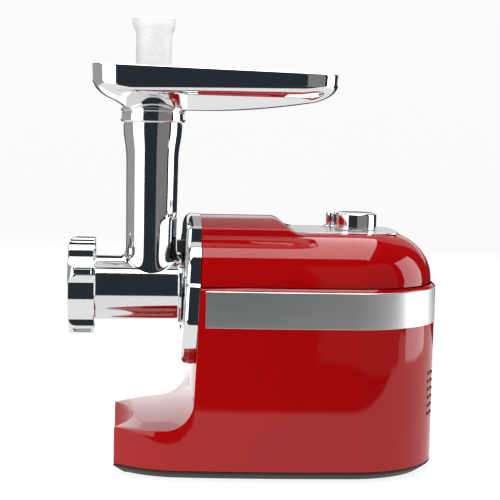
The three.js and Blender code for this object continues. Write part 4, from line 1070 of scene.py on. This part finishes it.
def rear_grille():
    """Dark louvre behind the vent slots."""
    plan = offset(body_plan(), SKIN + 0.5)
    behind = plan[(plan[:, 0] > 100) & (np.abs(plan[:, 1]) < 52)]
    path = behind[np.argsort(behind[:, 1])]
    pieces = []
    for k in range(GRILLE_SLATS):
        z = GRILLE_LOW_Z + VENT_PITCH * k
        section = [(0.0, z), (0.0, z + 3.9), (2.4, z + 1.6), (2.4, z - 1.6)]
        rings = [at_z(path - (depth, 0), height) for depth, height in section]
        pieces.append(loft("slat", rings, closed=False, loop=True))
    for y in (-36, -12, 12, 36):
        behind_x = np.interp(y, path[:, 1], path[:, 0])
        pieces.append(block((behind_x - 4.5, behind_x - 2.2), (y - 1.5, y + 1.5), (43, 90), 0.3))
    grille = join("vent_louvre", pieces)
    finish_piece(grille, DARK, "motor_unit", ["rear_vent_grille"])


def cord_gland():
    profile = rounded([(145, 5), (145, 11), (152.8, 11), (152.8, 7.8), (155.2, 7.8, 0.4),
                       (155.9, 7.0, 0.4), (155.9, 5.4, 0.3), (155.0, 5)], 0.3)
    gland = lathe("cord_inlet", profile, "X", (0, 0, GLAND_Z), 64, closed=True)
    finish_piece(gland, DARK, "motor_unit", ["cord_gland"])


# ---- inner pieces
FINISHES = {
    "black_plastic": BLACK, "tool_steel": STEEL, "cast_metal": CAST, "nylon": NYLON,
    "lamination": LAMINATION, "copper": COPPER, "board": BOARD, "polished_chrome": CHROME,
    "rubber": RUBBER, "silver_panel": PANEL, "red_enamel": RED, "brushed_band": BRUSHED,
    "milky_plastic": MILKY,
}


def dress_inner_nodes():
    """Puts a finish on each node of the CAD model, which shows where no new piece replaces it."""
    for part in frame["record"]["subparts"]:
        obj = frame["nodes"][part["node"]]
        obj.data.materials.clear()
        obj.data.materials.append(FINISHES[part["material_slot"]])


# ---- stage
def glowing(name, strength, albedo=0.0):
    """Material of a stage surface that gives off light and may also be lit."""
    material = bpy.data.materials.new(name)
    material.use_nodes = True
    tree = material.node_tree
    tree.nodes.clear()
    glow = add_node(tree, "Emission", Strength=strength)
    out = add_node(tree, "OutputMaterial")
    if not albedo:
        tree.links.new(glow.outputs["Emission"], out.inputs["Surface"])
        return material
    lit = add_node(tree, "BsdfDiffuse", Color=(albedo, albedo, albedo, 1))
    both = add_node(tree, "AddShader")
    tree.links.new(glow.outputs["Emission"], both.inputs[0])
    tree.links.new(lit.outputs["BSDF"], both.inputs[1])
    tree.links.new(both.outputs["Shader"], out.inputs["Surface"])
    return material


def stage_floor():
    """Pale floor that curves up far away on every side."""
    curve = bezier([(0, 2400), (0, 3600), (900, 4000), (3000, 4000)], 14)
    profile = [(0, 0.01), (0, 600), (0, 1400), *[tuple(p) for p in curve], (3000, 4000)]
    floor = lathe("floor", profile)
    shade(floor, 60)
    floor.data.materials.append(glowing("pale_floor", 0.86, 0.20))
    floor.visible_glossy = False


def panel_of_light(name, corners, radiance, mirror_only=False):
    """A flat glowing panel that the camera doesn't see.

    One that is mirror_only shows in polished surfaces and lights nothing else.
    """
    panel = new_object(name, corners, [(0, 1, 2, 3)])
    panel.data.materials.append(glowing(name, radiance))
    panel.visible_camera = False
    if mirror_only:
        panel.visible_diffuse = False
        panel.visible_transmission = False
        panel.visible_shadow = False


def upright(start, end, heights):
    """Corners of a standing panel between two plan points."""
    low, high = heights
    return [(*start, low), (*end, low), (*end, high), (*start, high)]


def level(x, y, z):
    """Corners of a level panel."""
    return [(x[0], y[0], z), (x[1], y[0], z), (x[1], y[1], z), (x[0], y[1], z)]


def fill_light(name, centre, size, power):
    """Soft light that adds no reflection."""
    data = bpy.data.lights.new(name, "AREA")
    data.shape = "SQUARE"
    data.size = size * MM
    data.energy = power
    obj = add_object(name, data)
    obj.location = Vector(centre) * MM
    aim = Vector((0, 0, HEAD_Z + 2.5)) - Vector(centre)
    obj.rotation_euler = aim.to_track_quat("-Z", "Y").to_euler()
    obj.visible_glossy = False


def studio():
    """Softboxes over and beside the object, screens behind the camera and a pale table."""
    room = bpy.data.worlds.new("dark_room")
    room.use_nodes = True
    set_inputs(room.node_tree.nodes["Background"], Color=(0.62, 0.82, 1, 1), Strength=0.036)
    bpy.context.scene.world = room
    bpy.context.scene.view_settings.view_transform = "Standard"
    stage_floor()
    above, head_side = 640, (-520, -125)
    low, tall = (0, above), (0, 700)
    panel_of_light("table", level((-750, 900), (-365, 600), 0.05), 0.84, mirror_only=True)
    panel_of_light("overhead_softbox", level((-125, 290), (-300, 430), above), 3.6)
    panel_of_light("overhead_front", level(head_side, (-300, -60), above), 3.0)
    panel_of_light("overhead_rear", level(head_side, (151, 430), above), 3.0)
    panel_of_light("left_softbox", upright((-780, -85), (-496, -566), low), 1.9)
    panel_of_light("right_softbox", upright((700, -196), (760, 250), low), 3.0)
    panel_of_light("grey_screen", upright((124, -672), (640, -300), tall), 0.21)
    panel_of_light("rear_left_screen", upright((-456, 594), (-780, -85), tall), 0.35)
    panel_of_light("rear_strip", upright((900, 900), (-700, 900), (270, 460)), 0.9)
    panel_of_light("rear_wall", upright((900, 900), (-60, 900), (460, 1300)), 0.4)
    panel_of_light("rear_board", upright((-45, 230), (-420, 230), (0, 125)), 1.2, mirror_only=True)
    fill_light("front_fill", (-200, -1500, 700), 900, 5)
    fill_light("rear_fill", (500, 1500, 900), 900, 14)


def camera():
    """A long lens a little above the table, turned a few degrees towards the front."""
    azimuth, elevation, roll = math.radians(-4.6), math.radians(5.53), math.radians(1.25)
    distance, target = 1318.0, Vector((-1.0, 0.0, 180.8))
    flat = math.cos(elevation)
    back = Vector((math.sin(azimuth) * flat, -math.cos(azimuth) * flat, math.sin(elevation)))
    right = Vector((math.cos(azimuth), math.sin(azimuth), 0))
    up = back.cross(right)
    right_rolled = right * math.cos(roll) + up * math.sin(roll)
    up_rolled = up * math.cos(roll) - right * math.sin(roll)
    data = bpy.data.cameras.new("camera")
    data.sensor_width, data.lens = 36, 111.6
    data.clip_start, data.clip_end = 0.01, 50
    obj = add_object("camera", data)
    place = target + back * distance
    rotation = Matrix((right_rolled, up_rolled, back)).transposed()
    obj.matrix_world = Matrix.Translation(place * MM) @ rotation.to_4x4()
    bpy.context.scene.camera = obj


camera()
dress_inner_nodes()
lower_housing()
upper_cover()
trim_band()
base_plate()
feet()
bezel()
head_socket()
lock_ring()
grinder_head()
ring_nut()
cutting_plate()
auger()
knife()
feed_tray()
pusher()
knob()
reverse_button()
control_panel()
rear_grille()
cord_gland()
studio()
